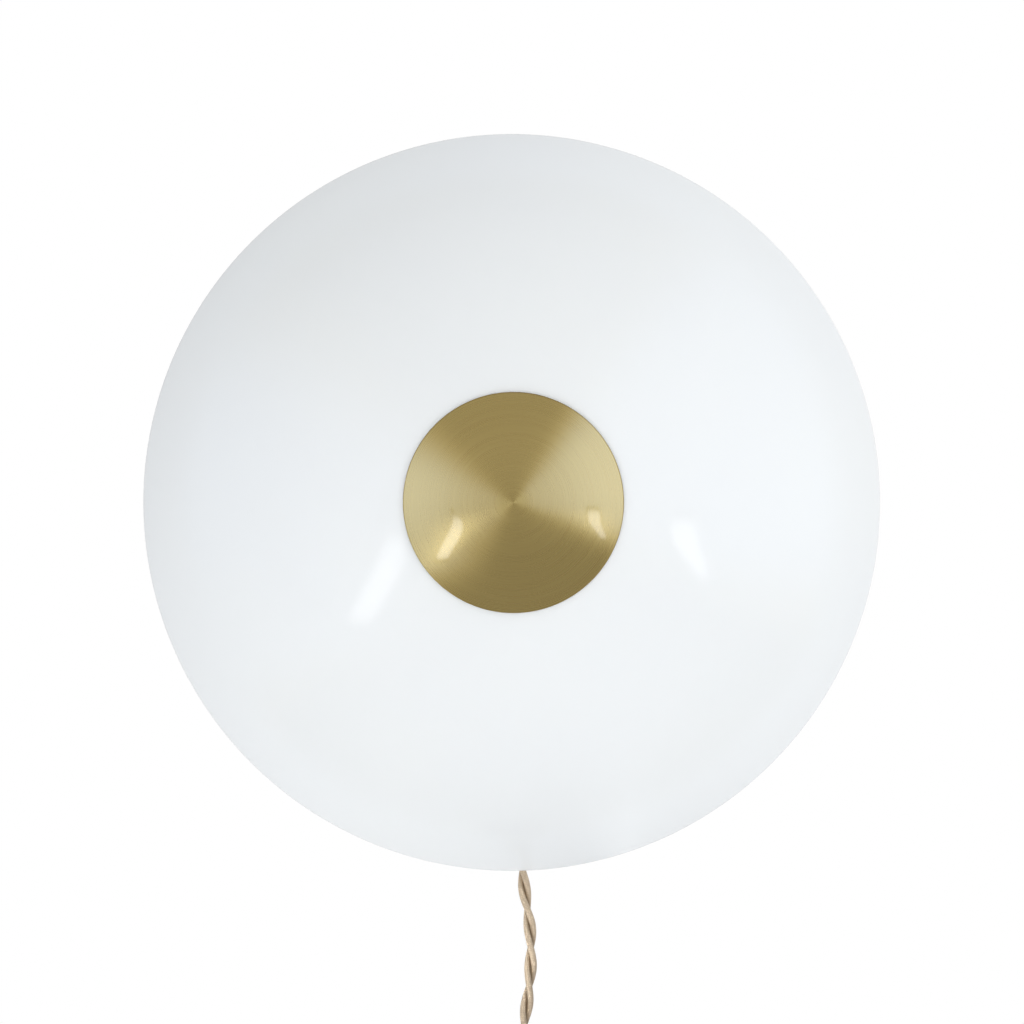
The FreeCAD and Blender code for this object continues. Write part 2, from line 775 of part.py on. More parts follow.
def cord_grip():
    """The grip is turned about the cord's own line, which runs down from the canopy's skirt."""
    grip = turned_body("cord_grip", [
        ("grip_bore_radius", "grip_inner_end"),
        ("grip_thread_radius", "grip_inner_end"),
        ("grip_thread_radius", "grip_seat"),
        ("grip_flange_radius", "grip_seat"),
        ("grip_flange_radius", "grip_seat + grip_flange_thickness"),
        ("grip_barrel_radius", "grip_seat + grip_flange_thickness"),
        ("grip_tip_radius", "grip_tip"),
        ("grip_bore_radius", "grip_tip"),
    ])
    keep(place(grip, depth="grip_depth", rotation=DOWNWARD), "cord_grip")
    nut = ring_prism("cord_grip_nut", "grip_nut_radius", "grip_thread_radius + thread_clearance",
                     "grip_nut_thickness")
    keep(place(nut, depth="grip_depth", up="-grip_nut_seat", rotation=DOWNWARD), "cord_grip_nut")


def cord_ends():
    """The two strands of the cord from the grip's tip to the terminal block."""
    tip, inner = size("grip_tip"), size("grip_inner_end")
    depth, block_depth = size("grip_depth"), size("pole_depth")
    block_low = size("block_drop + block_height / 2")
    for name, side in (("live", -1), ("neutral", 1)):
        near, far = side * size("strand_offset"), side * size("pole_offset")
        points = [
            Vector(near, -depth, -tip),
            Vector(near, -depth, size("strand_run_in") - inner),
            Vector(far, -block_depth, -block_low - size("strand_run_in")),
            Vector(far, -block_depth, -size("block_drop + strand_end_room")),
        ]
        label = f"cord_end_{name}"
        plain(label, tube(points, size("strand_radius"), label))


# Lampholders and bulbs

def sideways(side):
    return Rotation(Vector(0, 1, 0), 90 * side)


def lamp_piece(label, side, corners):
    """A piece turned about the line of one bulb, measured outward from the socket bracket."""
    piece = turned_body(label, corners)
    return place(piece, f"{side} * bracket_reach", "lamp_depth", "0", sideways(side))


def socket(name, side):
    holder = lamp_piece(f"socket_{name}_body", side, [
        ("lead_bore_radius", "-nipple_length"),
        ("nipple_radius", "-nipple_length"),
        ("nipple_radius", "0"),
        ("socket_radius - socket_lip", "0"),
        ("socket_radius", "socket_lip"),
        ("socket_radius", "socket_length - socket_lip"),
        ("socket_radius - socket_lip", "socket_length"),
        ("socket_bore_radius", "socket_length"),
        ("socket_bore_radius", "socket_floor"),
        ("lead_bore_radius", "socket_floor"),
    ])
    keep(holder, f"socket_{name}_body")
    shell = lamp_piece(f"socket_{name}_shell", side, box_corners(
        "shell_bore_radius", "socket_bore_radius - thread_clearance",
        "socket_floor + shell_end_room", "socket_length - shell_end_room"))
    keep(shell, f"socket_{name}_shell")
    contact = lamp_piece(f"socket_{name}_contact", side, box_corners(
        "0", "contact_radius", "socket_floor", "socket_floor + contact_thickness"))
    keep(contact, f"socket_{name}_contact")
    nut = ring_prism(f"socket_{name}_nut", "nut_corner_radius", "nipple_radius + thread_clearance",
                     "socket_nut_thickness")
    nut_seat = "bracket_reach - bracket_thickness - socket_nut_thickness"
    return place(nut, f"{side} * ({nut_seat})", "lamp_depth", "0", sideways(side))


def bulb(name, side):
    globe = lamp_piece(f"bulb_{name}_globe", side, [
        ("neck_radius", "bulb_seat + neck_end"),
        ("neck_radius", "bulb_seat + neck_join", "neck_arc", -1),
        ("globe_radius * neck_sine", "bulb_seat + globe_centre - globe_radius * neck_cosine", "globe_radius", 1),
        ("globe_radius", "bulb_seat + globe_centre", "globe_radius", 1),
        ("0", "bulb_seat + bulb_length"),
        ("0", "bulb_seat + bulb_length - globe_wall", "globe_radius - globe_wall", -1),
        ("globe_radius - globe_wall", "bulb_seat + globe_centre", "globe_radius - globe_wall", -1),
        ("(globe_radius - globe_wall) * neck_sine",
         "bulb_seat + globe_centre - (globe_radius - globe_wall) * neck_cosine", "neck_arc + globe_wall", 1),
        ("neck_radius - globe_wall", "bulb_seat + neck_join"),
        ("neck_radius - globe_wall", "bulb_seat + neck_end"),
    ])
    keep(globe, f"bulb_{name}_globe")
    base = lamp_piece(f"bulb_{name}_base", side, [
        ("base_radius - base_wall", "bulb_seat + base_start"),
        ("base_radius", "bulb_seat + base_start"),
        ("base_radius", "bulb_seat + base_start + base_length"),
        ("collar_radius", "bulb_seat + collar_start"),
        ("collar_radius", "bulb_seat + collar_end"),
        ("collar_radius - collar_wall", "bulb_seat + collar_end"),
        ("collar_radius - collar_wall", "bulb_seat + collar_start + base_wall"),
        ("base_radius - base_wall", "bulb_seat + base_start + base_length + base_wall"),
    ])
    keep(base, f"bulb_{name}_base")
    tip = lamp_piece(f"bulb_{name}_tip", side, [
        ("0", "bulb_seat"),
        ("tip_radius", "bulb_seat"),
        ("tip_radius", "bulb_seat + tip_height"),
        ("insulator_radius", "bulb_seat + base_start"),
        ("0", "bulb_seat + base_start"),
    ])
    keep(tip, f"bulb_{name}_tip")
    stem = lamp_piece(f"bulb_{name}_stem", side, [
        ("0", "bulb_seat + neck_end"),
        ("neck_radius - 2 * globe_wall", "bulb_seat + neck_end"),
        ("stem_radius", "bulb_seat + collar_end"),
        ("stem_radius", "bulb_seat + stem_height"),
        ("stem_tip_radius", "bulb_seat + stem_height + stem_radius"),
        ("stem_tip_radius", "bulb_seat + stem_tip_height"),
        ("0", "bulb_seat + stem_tip_height"),
    ])
    keep(stem, f"bulb_{name}_stem")


def lead(name, pole, side):
    """One inner lead, from the terminal block through the bushing into a lampholder.

    The lead that has to cross the other one turns aside later, so it passes in front of it.
    """
    pole_side = -1 if pole == "live" else 1
    crossing = -pole_side * side
    spacing, run_in = size("lead_spacing"), size("lead_run_in")
    pole_x = pole_side * (size("pole_offset") - side * spacing / 2)
    bushing_x = pole_side * spacing / 2
    bushing_z = -size("bushing_drop") - side * spacing / 2
    block_top = -size("block_drop - block_height / 2")
    pole_depth = size("pole_depth")
    turn_depth = size("canopy_depth + lead_turn") + (1 + crossing) * size("lead_turn") / 2
    lamp = size("lamp_depth") + crossing * size("lead_spread")
    beside = size("spacer_radius") + run_in
    mouth = size("bracket_reach - nipple_length")
    points = [
        Vector(pole_x, -pole_depth, block_top - run_in),
        Vector(pole_x, -pole_depth, block_top + run_in / 2),
        Vector(bushing_x, -pole_depth - 2 * run_in - side * spacing, bushing_z),
        Vector(bushing_x, -turn_depth, bushing_z),
        Vector(side * beside, -(turn_depth + lamp) / 2, bushing_z + run_in / 2),
        Vector(side * (beside + spacing), -lamp, -size("nut_corner_radius")),
        Vector(side * (mouth - run_in), -lamp, -size("lead_rise")),
        Vector(side * (mouth + run_in / 2), -lamp, 0),
        Vector(side * size("bracket_reach + socket_floor - contact_gap"), -lamp, 0),
    ]
    label = f"lead_{name}_{pole}"
    plain(label, tube(points, size("lead_radius"), label))


# Free cord

def free_cord():
    start = Vector(0, -size("grip_depth"), -size("grip_tip"))
    plain("cord_upper", tube([start] + CORD_UPPER, size("cord_radius"), "cord_upper"))
    switch_end = SWITCH_TOP - Vector(0, 0, size("switch_length"))
    coil_start = coil_end_points()[0]
    before_coil = coil_start - start_heading() * size("coil_lead_in")
    route = [switch_end] + CORD_LOWER + [before_coil, coil_start]
    plain("cord_lower", tube(route, size("cord_radius"), "cord_lower"))


def coil_point(turn):
    """The coil's line after so many turns: it spirals in and out and climbs a layer at each reversal."""
    layer = min(int(turn / TURNS_PER_LAYER), COIL_LAYERS - 1)
    along = turn - layer * TURNS_PER_LAYER
    pitch = size("coil_pitch")
    inner = size("coil_outer_radius") - pitch * TURNS_PER_LAYER
    radius = size("coil_outer_radius") - pitch * along if layer % 2 == 0 else inner + pitch * along
    climbed = 0
    for step in range(1, COIL_LAYERS):
        share = min(max((turn - step * TURNS_PER_LAYER) / CLIMB_TURNS + 0.5, 0), 1)
        climbed += share * share * (3 - 2 * share)
    azimuth = math.radians(size("coil_start_azimuth")) + 2 * math.pi * turn
    depth = size("coil_rear_depth") + pitch * climbed
    return COIL_CENTRE + Vector(radius * math.cos(azimuth), -depth, radius * math.sin(azimuth))


def coil_turns():
    spare = (size("coil_end_azimuth") - size("coil_start_azimuth")) / 360
    return COIL_LAYERS * TURNS_PER_LAYER + spare


def coil_heading(turn):
    step = HEADING_STEP
    return (coil_point(turn + step) - coil_point(turn - step)).normalize()


def biarc(start, start_heading, end, end_heading):
    """Two tangent arcs from one point and heading to the next."""
    chord = end - start
    total = start_heading + end_heading
    cosine = start_heading.dot(end_heading)
    along = chord.dot(total)
    reach = (-along + math.sqrt(along * along + 2 * (1 - cosine) * chord.dot(chord))) / (2 * (1 - cosine))
    joint = (start + end + (start_heading - end_heading) * reach) / 2
    edges = []
    for at, heading, to in ((start, start_heading, joint), (end, -end_heading, joint)):
        span = to - at
        toward = at + heading * (span.dot(span) / (2 * span.dot(heading)))
        middle_out = ((at + to) / 2 - toward)
        sagitta = arc_rise(at, heading, to)
        middle = (at + to) / 2 - middle_out.normalize() * sagitta
        edges.append(Part.Arc(at, middle, to).toShape() if at is start else Part.Arc(to, middle, at).toShape())
    return edges


def arc_rise(at, heading, to):
    """How far an arc stands off the middle of its chord."""
    span = to - at
    half_turn = span.getAngle(heading)
    return span.Length / 2 * math.tan(half_turn / 2)


def coil_end_points():
    """The coil's two ends, each one cord's diameter straight out from its turns."""
    diameter = 2 * size("cord_radius")
    first = coil_point(0) - start_heading() * diameter
    last = coil_point(coil_turns()) + end_heading() * diameter
    return first, last


def start_heading():
    azimuth = math.radians(size("coil_start_azimuth"))
    return Vector(-math.sin(azimuth), 0, math.cos(azimuth))


def end_heading():
    azimuth = math.radians(size("coil_end_azimuth"))
    return Vector(-math.sin(azimuth), 0, math.cos(azimuth))


def cord_coil():
    turns = coil_turns()
    spans = round(turns * SPANS_PER_TURN)
    knots = [turns * number / spans for number in range(spans + 1)]
    headings = [coil_heading(knot) for knot in knots]
    headings[0], headings[-1] = start_heading(), end_heading()
    points = [coil_point(knot) for knot in knots]
    first, last = coil_end_points()
    edges = [Part.LineSegment(first, points[0]).toShape()]
    for number in range(spans):
        edges += biarc(points[number], headings[number], points[number + 1], headings[number + 1])
    edges.append(Part.LineSegment(points[-1], last).toShape())
    path = Part.Wire(edges)
    radius = size("cord_radius")
    solid = swept(path, radius)
    share = solid.Volume / (math.pi * radius * radius * path.Length)
    print(f"cord_coil: length {path.Length:.1f}, {turns:.3f} turns, volume share {share:.4f}")
    print(f"cord_coil: least gap to itself {least_gap(path) - 2 * radius:.3f}")
    plain("cord_coil", solid)


def least_gap(path):
    """The least distance between points of the line that lie half a turn or more apart along it."""
    line = path.discretize(Number=GAP_SAMPLES)
    step = path.Length / (GAP_SAMPLES - 1)
    apart = int(2 * math.pi * size("coil_outer_radius") / 2 / step)
    least = path.Length
    for number, point in enumerate(line):
        for other in line[number + apart:]:
            least = min(least, point.distanceToPoint(other))
    return least


def cord_tail():
    """The end of the cord hangs straight under the plug's weight."""
    last = coil_end_points()[1]
    end = last - Vector(0, 0, size("tail_length"))
    plain("cord_tail", tube([last, end], size("cord_radius"), "cord_tail"))


def cord_tie():
    """A strap round all the turns at the coil's top."""
    tie = new_body("cord_tie")
    outer = new_sketch(tie, "YZ_Plane", "outer")
    draw(outer, rounded_box("tie_height / 2 + tie_thickness", "tie_depth / 2 + tie_thickness",
                            "tie_corner + tie_thickness"))
    pad(tie, outer, "tie_width", both_ways=True)
    opening = new_sketch(tie, "YZ_Plane", "opening")
    draw(opening, rounded_box("tie_height / 2", "tie_depth / 2", "tie_corner"))
    cut(tie, opening)
    place(tie, str(COIL_CENTRE.x), "coil_middle_depth", f"{COIL_CENTRE.z} + tie_middle_radius")
    keep(tie, "cord_tie")


# In-line switch, with local Y along the cord and local Z outward from the cord's line

def place_switch(piece, up="0", outward="0", rotation=None):
    x, y, z = SWITCH_TOP
    return place(piece, str(x), f"{-y} + {outward}", f"{z} - switch_length / 2 + {up}", rotation)


def switch_case(label, side):
    """One half of the switch's case: side 1 is the front, side -1 the back."""
    case = new_body(label)
    outline = new_sketch(case, "XY_Plane", "outline")
    draw(outline, rounded_box("switch_width / 2", "switch_length / 2", "switch_corner"))
    pad(case, outline, "switch_half", flipped=side < 0)
    round_rim(case, f"{side} * switch_half", "switch_edge")
    hollow = new_sketch(case, "XY_Plane", "hollow")
    draw(hollow, box_corners("-cavity_half_width", "cavity_half_width", "-cavity_half_length",
                             "cavity_half_length"))
    cut(case, hollow, "cavity_depth", both_ways=False, flipped=side > 0)
    drill(case, "XZ_Plane", "0", "0", "switch_bore_radius")
    return case


def switch():
    back = switch_case("switch_case_back", -1)
    for side in (-1, 1):
        x, y = f"{side} * case_screw_across", f"{side} * case_screw_along"
        drill(back, "XY_Plane", x, y, "case_screw_radius + thread_clearance")
        seat = new_sketch(back, "XY_Plane", "screw_seat")
        draw_circle(seat, x, y, "case_screw_head_radius + contact_gap")
        seat.AttachmentOffset = FreeCAD.Placement(Vector(0, 0, 0), Rotation())
        seat.setExpression("AttachmentOffset.Base.z", bound("case_screw_head_thickness - switch_half"))
        cut(back, seat, "2 * case_screw_head_thickness", both_ways=False)
    keep(place_switch(back), "switch_case_back")
    front = switch_case("switch_case_front", 1)
    window = new_sketch(front, "XY_Plane", "window")
    draw(window, box_corners("-window_width / 2", "window_width / 2", "-window_length / 2", "window_length / 2"))
    cut(front, window, both_ways=False, flipped=True)
    drill(front, "YZ_Plane", "0", "pivot_height", "pin_radius + thread_clearance",
          "2 * (cavity_half_width + pin_seat + contact_gap)")
    for side in (-1, 1):
        drill(front, "XY_Plane", f"{side} * case_screw_across", f"{side} * case_screw_along",
              "case_screw_radius + thread_clearance", "case_screw_length - switch_half + case_screw_head_thickness",
              both_ways=False, flipped=True)
    keep(place_switch(front), "switch_case_front")


def switch_works():
    """The rocker on its pin, and the two conductors through the case."""
    rocker = new_body("switch_rocker")
    side_view = new_sketch(rocker, "YZ_Plane", "side_view")
    top = "rocker_rise + rocker_length / 2 * tan(rocker_tilt)"
    hub = "rocker_hub_radius * sin(rocker_hub_wrap)"
    hub_low = "-rocker_hub_radius * cos(rocker_hub_wrap)"
    draw(side_view, [
        ("-rocker_length / 2", top),
        ("-rocker_length / 2 + rocker_flank_inset", "rocker_rise - rocker_hub_radius"),
        (f"-{hub}", hub_low, "rocker_hub_radius", 1),
        ("0", "-rocker_hub_radius", "rocker_hub_radius", 1),
        (hub, hub_low),
        ("rocker_length / 2 - rocker_flank_inset", "rocker_rise - rocker_hub_radius"),
        ("rocker_length / 2", top),
        ("0", "rocker_rise"),
    ])
    pad(rocker, side_view, "rocker_width", both_ways=True)
    drill(rocker, "YZ_Plane", "0", "0", "pin_radius + thread_clearance")
    tilted = Rotation(Vector(1, 0, 0), 90 - size("rocker_tilt"))
    keep(place_switch(rocker, outward="pivot_height", rotation=tilted), "switch_rocker")

    pin = turned_body("switch_pin", box_corners(
        "0", "pin_radius", "-(cavity_half_width + pin_seat)", "cavity_half_width + pin_seat"))
    keep(place_switch(pin, outward="pivot_height", rotation=sideways(1)), "switch_pin")

    floor = "-cavity_depth"
    step_up = "-strand_radius - contact_gap"
    near, far = "strip_start", "cavity_half_length - contact_gap"
    contact = bent_strip("switch_contact", [
        (near, floor),
        ("strip_step", floor),
        ("strip_step", f"{step_up} - strip_thickness"),
        (far, f"{step_up} - strip_thickness"),
        (far, step_up),
        ("strip_step - strip_thickness", step_up),
        ("strip_step - strip_thickness", f"{floor} + strip_thickness"),
        (near, f"{floor} + strip_thickness"),
    ])
    keep(place_switch(contact), "switch_contact")
    hub_room = "pivot_height - rocker_hub_radius - leaf_gap"
    leaf = bent_strip("switch_leaf", [
        (f"-({near})", floor),
        (f"-({near})", f"{floor} + strip_thickness"),
        ("-strip_step + strip_thickness", f"{floor} + strip_thickness"),
        ("-strip_step + strip_thickness", f"{step_up} - strip_thickness"),
        ("-leaf_reach", f"{hub_room} - strip_thickness"),
        ("leaf_reach", f"{hub_room} - strip_thickness"),
        ("leaf_reach", hub_room),
        ("-leaf_reach", hub_room),
        ("-strip_step", step_up),
        (f"-({far})", step_up),
        (f"-({far})", f"{step_up} - strip_thickness"),
        ("-strip_step", f"{step_up} - strip_thickness"),
        ("-strip_step", floor),
    ])
    keep(place_switch(leaf), "switch_leaf")

    middle = SWITCH_TOP - Vector(0, 0, size("switch_length / 2"))
    half, strand = size("switch_length / 2"), size("strand_offset")
    hollow, stub = size("cavity_half_length"), size("strip_step")
    live = []
    for end in (-1, 1):
        run = [middle + Vector(strand, 0, end * half), middle + Vector(strand, 0, end * stub)]
        live.append(swept(tube_path(run)[0], size("strand_radius")))
    plain("switch_live_wires", Part.makeCompound(live))
    aside = -size("neutral_run_offset")
    run_in = size("strand_run_in")
    along = size("window_length / 2")
    around = [
        middle + Vector(-strand, 0, half),
        middle + Vector(-strand, 0, hollow - run_in),
        middle + Vector(aside, 0, along),
        middle + Vector(aside, 0, -along),
        middle + Vector(-strand, 0, run_in - hollow),
        middle + Vector(-strand, 0, -half),
    ]
    plain("switch_neutral_wire", tube(around, size("strand_radius"), "switch_neutral_wire"))

    screws = []
    for side in (-1, 1):
        screw = turned_body("case_screw", [
            ("0", "0"),
            ("case_screw_head_radius", "0"),
            ("case_screw_head_radius", "case_screw_head_thickness"),
            ("case_screw_radius", "case_screw_head_thickness"),
            ("case_screw_radius", "case_screw_length"),
            ("0", "case_screw_length"),
        ])
        screws.append(place(
            screw, f"{SWITCH_TOP.x} + {side} * case_screw_across", f"{-SWITCH_TOP.y} - switch_half",
            f"{SWITCH_TOP.z} - switch_length / 2 + {side} * case_screw_along"))
    group("switch_screws", screws)


def bent_strip(label, corners):
    """A strip of one thickness, seen from the side and padded to the strip's width beside the middle."""
    strip = new_body(label)
    side_view = new_sketch(strip, "YZ_Plane", "side_view")
    draw(side_view, corners)
    pad(strip, side_view, "strip_width", both_ways=True)
    return strip


# Plug, turned about the cord's tail, with its blades pointing down

def plug():
    entry = coil_end_points()[1] - Vector(0, 0, size("tail_length"))

    def hang(piece, x="0", across="0", down="0"):
        """Place a piece by its distance below the plug's entry."""
        return place(piece, f"{entry.x} + {x}", f"{-entry.y} + {across}", f"{entry.z} - ({down})", DOWNWARD)

    cover = turned_body("plug_cover", [
        ("grip_bore_radius", "0"),
        ("plug_neck_radius", "0"),
        ("plug_neck_radius", "plug_shoulder"),
        ("plug_radius", "plug_cover_length - plug_lip"),
        ("plug_radius", "plug_cover_length"),
        ("plug_radius - plug_cover_wall", "plug_cover_length"),
        ("plug_radius - plug_cover_wall", "plug_cover_length - plug_lip"),
        ("grip_bore_radius", "plug_shoulder + plug_cover_wall"),
    ])
    keep(hang(cover), "plug_cover")
    base = turned_body("plug_base", [
        ("0", "plug_cover_length"),
        ("plug_radius", "plug_cover_length"),
        ("plug_radius", "plug_length - plug_chamfer"),
        ("plug_radius - plug_chamfer", "plug_length"),
        ("0", "plug_length"),
    ])
    for name, side in (("live", -1), ("neutral", 1)):
        middle = f"{side} * blade_spacing / 2"
        half = "(blade_thickness / 2 + thread_clearance)"
        wide = f"(blade_width_{name} / 2 + thread_clearance)"
        slot = new_sketch(base, "XY_Plane", "slot")
        draw(slot, box_corners(f"{middle} - {half}", f"{middle} + {half}", f"-{wide}", wide))
        cut(base, slot, both_ways=True)
    for side in (-1, 1):
        drill(base, "XY_Plane", "0", f"{side} * plug_screw_across", "plug_screw_radius + thread_clearance")
    keep(hang(base), "plug_base")
    for name, side in (("live", -1), ("neutral", 1)):
        blade = new_body(f"plug_blade_{name}")
        face = new_sketch(blade, "XZ_Plane", "face")
        middle = f"{side} * blade_spacing / 2"
        draw(face, box_corners(f"{middle} - blade_thickness / 2", f"{middle} + blade_thickness / 2",
                               "plug_cover_length - blade_root", "plug_length + blade_length"))
        pad(blade, face, f"blade_width_{name}", both_ways=True)
        keep(hang(blade), f"plug_blade_{name}")
    screws = []
    for side in (-1, 1):
        screw = turned_body("plug_screw", [
            ("0", "plug_length - plug_screw_length"),
            ("plug_screw_radius", "plug_length - plug_screw_length"),
            ("plug_screw_radius", "plug_length + contact_gap"),
            ("plug_screw_head_radius", "plug_length + contact_gap"),
            ("plug_screw_head_radius", "plug_length + contact_gap + plug_screw_head_thickness"),
            ("0", "plug_length + contact_gap + plug_screw_head_thickness"),
        ])
        screws.append(hang(screw, across=f"{side} * plug_screw_across"))
    group("plug_screws", screws)


for step in (glass_shade, cap, centre_stack, socket_bracket, canopy, wall_plate, canopy_screws, terminal_block,
             wire_bushing, cord_grip, cord_ends, free_cord, cord_coil, cord_tail, cord_tie, switch,
             switch_works, plug):
    step()
nuts = []
for name, side in (("left", -1), ("right", 1)):
    nuts.append(socket(name, side))
    bulb(name, side)
    for pole in ("live", "neutral"):
        lead(name, pole, side)
group("socket_nuts", nuts)
doc.recompute()

for item in doc.Objects:
    if "Invalid" in item.State or "Error" in item.State or "Touched" in item.State:
        raise RuntimeError(f"{item.Name} failed: {item.State}")
for piece in pieces:
    if piece.Shape.isNull() or not piece.Shape.isValid():
        raise RuntimeError(f"{piece.Label} has no valid shape")

os.makedirs("parts", exist_ok=True)
for piece in pieces:
    piece.Shape.exportStep(f"parts/{piece.Label}.step")
print(f"{len(pieces)} nodes written")
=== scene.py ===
import json
import math

import bpy
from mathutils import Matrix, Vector

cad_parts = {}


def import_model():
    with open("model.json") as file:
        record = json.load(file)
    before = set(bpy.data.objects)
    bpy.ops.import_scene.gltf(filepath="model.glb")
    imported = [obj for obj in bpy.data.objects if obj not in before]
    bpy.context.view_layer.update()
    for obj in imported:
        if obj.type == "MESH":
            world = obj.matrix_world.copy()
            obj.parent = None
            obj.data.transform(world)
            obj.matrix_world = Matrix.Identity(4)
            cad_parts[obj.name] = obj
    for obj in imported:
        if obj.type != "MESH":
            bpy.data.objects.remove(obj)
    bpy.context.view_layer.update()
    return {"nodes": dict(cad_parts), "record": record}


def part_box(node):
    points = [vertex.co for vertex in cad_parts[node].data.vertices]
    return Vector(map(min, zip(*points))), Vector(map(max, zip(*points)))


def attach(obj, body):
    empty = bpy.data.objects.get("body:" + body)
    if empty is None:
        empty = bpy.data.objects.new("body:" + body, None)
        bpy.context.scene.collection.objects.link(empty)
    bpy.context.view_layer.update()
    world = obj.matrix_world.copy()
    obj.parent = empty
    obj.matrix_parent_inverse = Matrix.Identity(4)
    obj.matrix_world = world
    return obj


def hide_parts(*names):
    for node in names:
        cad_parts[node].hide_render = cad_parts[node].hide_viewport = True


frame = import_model()
nodes = frame["nodes"]

# Wall lamp: opal glass dish, spun brass cap and canopy, two small bulbs, and a cloth-covered
# twisted cord. Metres. The wall is the plane y = 0 and the front faces -Y. A depth is a distance
# in front of the wall, and a profile is a line of (radius, depth) about the lamp's axis.

MM = 0.001
LATHE_SEGMENTS = 360
ON_AXIS = 1e-7

# Glass: a crown that runs into a steeper bowl, with a round rim
GLASS_WALL = 4 * MM
GLASS_FRONT = 110.5 * MM
CROWN_RADIUS = 220 * MM
CROWN_REACH = 90 * MM
BOWL_RADIUS = 199.25 * MM
RIM_MIDDLE = (173 * MM, 19 * MM)
SEAT_RADIUS = 18 * MM
HOLE_RADIUS = 6.5 * MM
HOLE_EDGE = 0.3 * MM
CROWN_STEPS, BOWL_STEPS, RIM_STEPS = 40, 64, 16
INNER_CROWN_STEPS, INNER_BOWL_STEPS = 30, 48

# Brass cap: part of a sphere, with a slightly rounded edge. The edge's points are given by how far
# they lie inward and forward of its corner.
CAP_RADIUS = 50 * MM
CAP_SPHERE = 96 * MM
CAP_WALL = 1.2 * MM
CAP_RIM_DEPTH = 106.364 * MM
CAP_EDGE_INSET = 0.105 * MM
CAP_EDGE = [(0, 0.315 * MM), (0.05 * MM, 0.1 * MM), (0.35 * MM, 0)]
CAP_STEPS, INNER_CAP_STEPS = 90, 60

# Cord: two strands that cross once in each half twist
STRAND_RADIUS = 1.5 * MM
STRAND_OFFSET = 1.5 * MM
STRAND_SIDES = 16
HALF_TWIST = 18.6 * MM
CROSSING_HEIGHT = -0.2122
UPPER_RESOLUTION, LOWER_RESOLUTION, INNER_RESOLUTION = 16, 10, 12

# The free cord's route in front of the wall
CORD_START = Vector((0, -9, -86.6)) * MM
SWITCH_TOP = Vector((5.4, -9, -256)) * MM
SWITCH_LENGTH = 56 * MM
CORD_UPPER = [
    Vector((0, -9, -104)) * MM,
    Vector((1.4, -8, -130)) * MM,
    Vector((4.4, -8.4, -158)) * MM,
    Vector((5.4, -9.4, -182)) * MM,
    Vector((9, -9, -203)) * MM,
    Vector((9.2, -8.6, -221)) * MM,
    Vector((7.9, -9, -236)) * MM,
    Vector((6.0, -9, -247)) * MM,
    SWITCH_TOP,
]
CORD_LOWER = [
    Vector((5.4, -9, -323)) * MM,
    Vector((1.9, -7.6, -336.5)) * MM,
]
# Across, depth and drop of each strand between the grip and the terminals, in millimetres
INNER_ROUTE = [(1.55, 9, 86.6), (1.55, 9, 50.3), (5, 7.5, 44), (5, 7.5, 35)]

# The put-away coil
COIL_CENTRE = Vector((4.6, 0, -397)) * MM
COIL_OUTER_RADIUS = 41 * MM
COIL_PITCH = 6.45 * MM
COIL_REAR_DEPTH = 5 * MM
COIL_LAYERS = 4
TURNS_PER_LAYER = 2.5
CLIMB_TURNS = 0.5
START_AZIMUTH = 135
END_AZIMUTH = 180
COIL_LEAD_IN = 17 * MM
COIL_END_RUN = 6 * MM
TAIL_LENGTH = 24 * MM
POINTS_PER_TURN = 20

# The strap round the coil's top, and its loose end, the lap, laid over it in front. The section
# and the lap's sizes are shares of half the strap's width, thickness or height.
STRAP_THICKNESS = 1 * MM
STRAP_CORNER = 3.5 * MM
STRAP_CORNER_STEPS = 10
STRAP_SECTION = [(-1, 0), (-0.93, 0.8), (-0.6, 1), (0.6, 1), (0.93, 0.8),
                 (1, 0), (0.93, -0.8), (0.6, -1), (-0.6, -1), (-0.93, -0.8)]
STRAP_SEAM = 2 * MM
LAP_HEIGHTS = (0.55, -0.55)
LAP_STEPS = 14
LAP_LIFT = 0.9
LAP_WIDTH = 0.97
LAP_END_WIDTH = 0.35
LAP_END_ROWS = 3

# Camera: its distance from the wall, its place, and the picture's width at the dish's rim
CAMERA_DISTANCE = 1.85
CAMERA_ACROSS = -0.014
RIM_PLANE = 0.019
FRAME_WIDTH = 0.4864
AIM_DROP = 0.0045
SENSOR_WIDTH = 36
CLIP_RANGE = (0.05, 60)

# What brass and glass mirror. A soft step runs over a part of the look's direction: toward the
# wall (BEHIND), its height (GROUND, CEILING, PANEL_HORIZON) or away from the lamp's axis (MIDDLE,
# NEAR, FAR). WARM_STEP runs over the level itself.
BEHIND_LEVEL = 0.75
BEHIND_STEP = (0.0, 0.25)
FRONT_LEVEL = 0.54
GROUND_LEVEL = 0.345
GROUND_STEP = (-0.5, 0.1)
CEILING_SHARE = 0.84
CEILING_STEP = (0.1, 0.7)
MIDDLE_SHARE = 0.80
MIDDLE_STEP = (0.05, 0.55)
WARM_WALL = (1.0, 0.90, 0.64)
WARM_STEP = (0.5, 1.0)
COOL_PANEL = (0.95, 1.0, 1.09)
SIDE_PANELS = [
    # turn from +X, level, full within, none beyond, with angles in degrees
    (17, 0.63, 14, 49),
    (192, 0.49, 20, 64),
]
NEAR_SHARE = 0.6
NEAR_STEP = (0.02, 0.22)
FAR_STEP = (0.42, 0.85)
PANEL_HORIZON = (-0.78, -0.50)
LEAST_OFF_AXIS = 0.001

# Soft light on everything else: an even level, a slope, and more from the upper right
AMBIENT_LEVEL = 0.78
AMBIENT_SLOPE = (0.265, -0.02, -0.20)
RIGHT_SLOPE = 1.35
FRONT_LAMP_WAY = (-0.27, -0.94, -0.2)
FRONT_LAMP_DISTANCE = 2.2
FRONT_LAMP_SIZE = 0.7
# Its light on a surface that faces it, as a share of what a white world gives
FRONT_LAMP_SHARE = 0.2

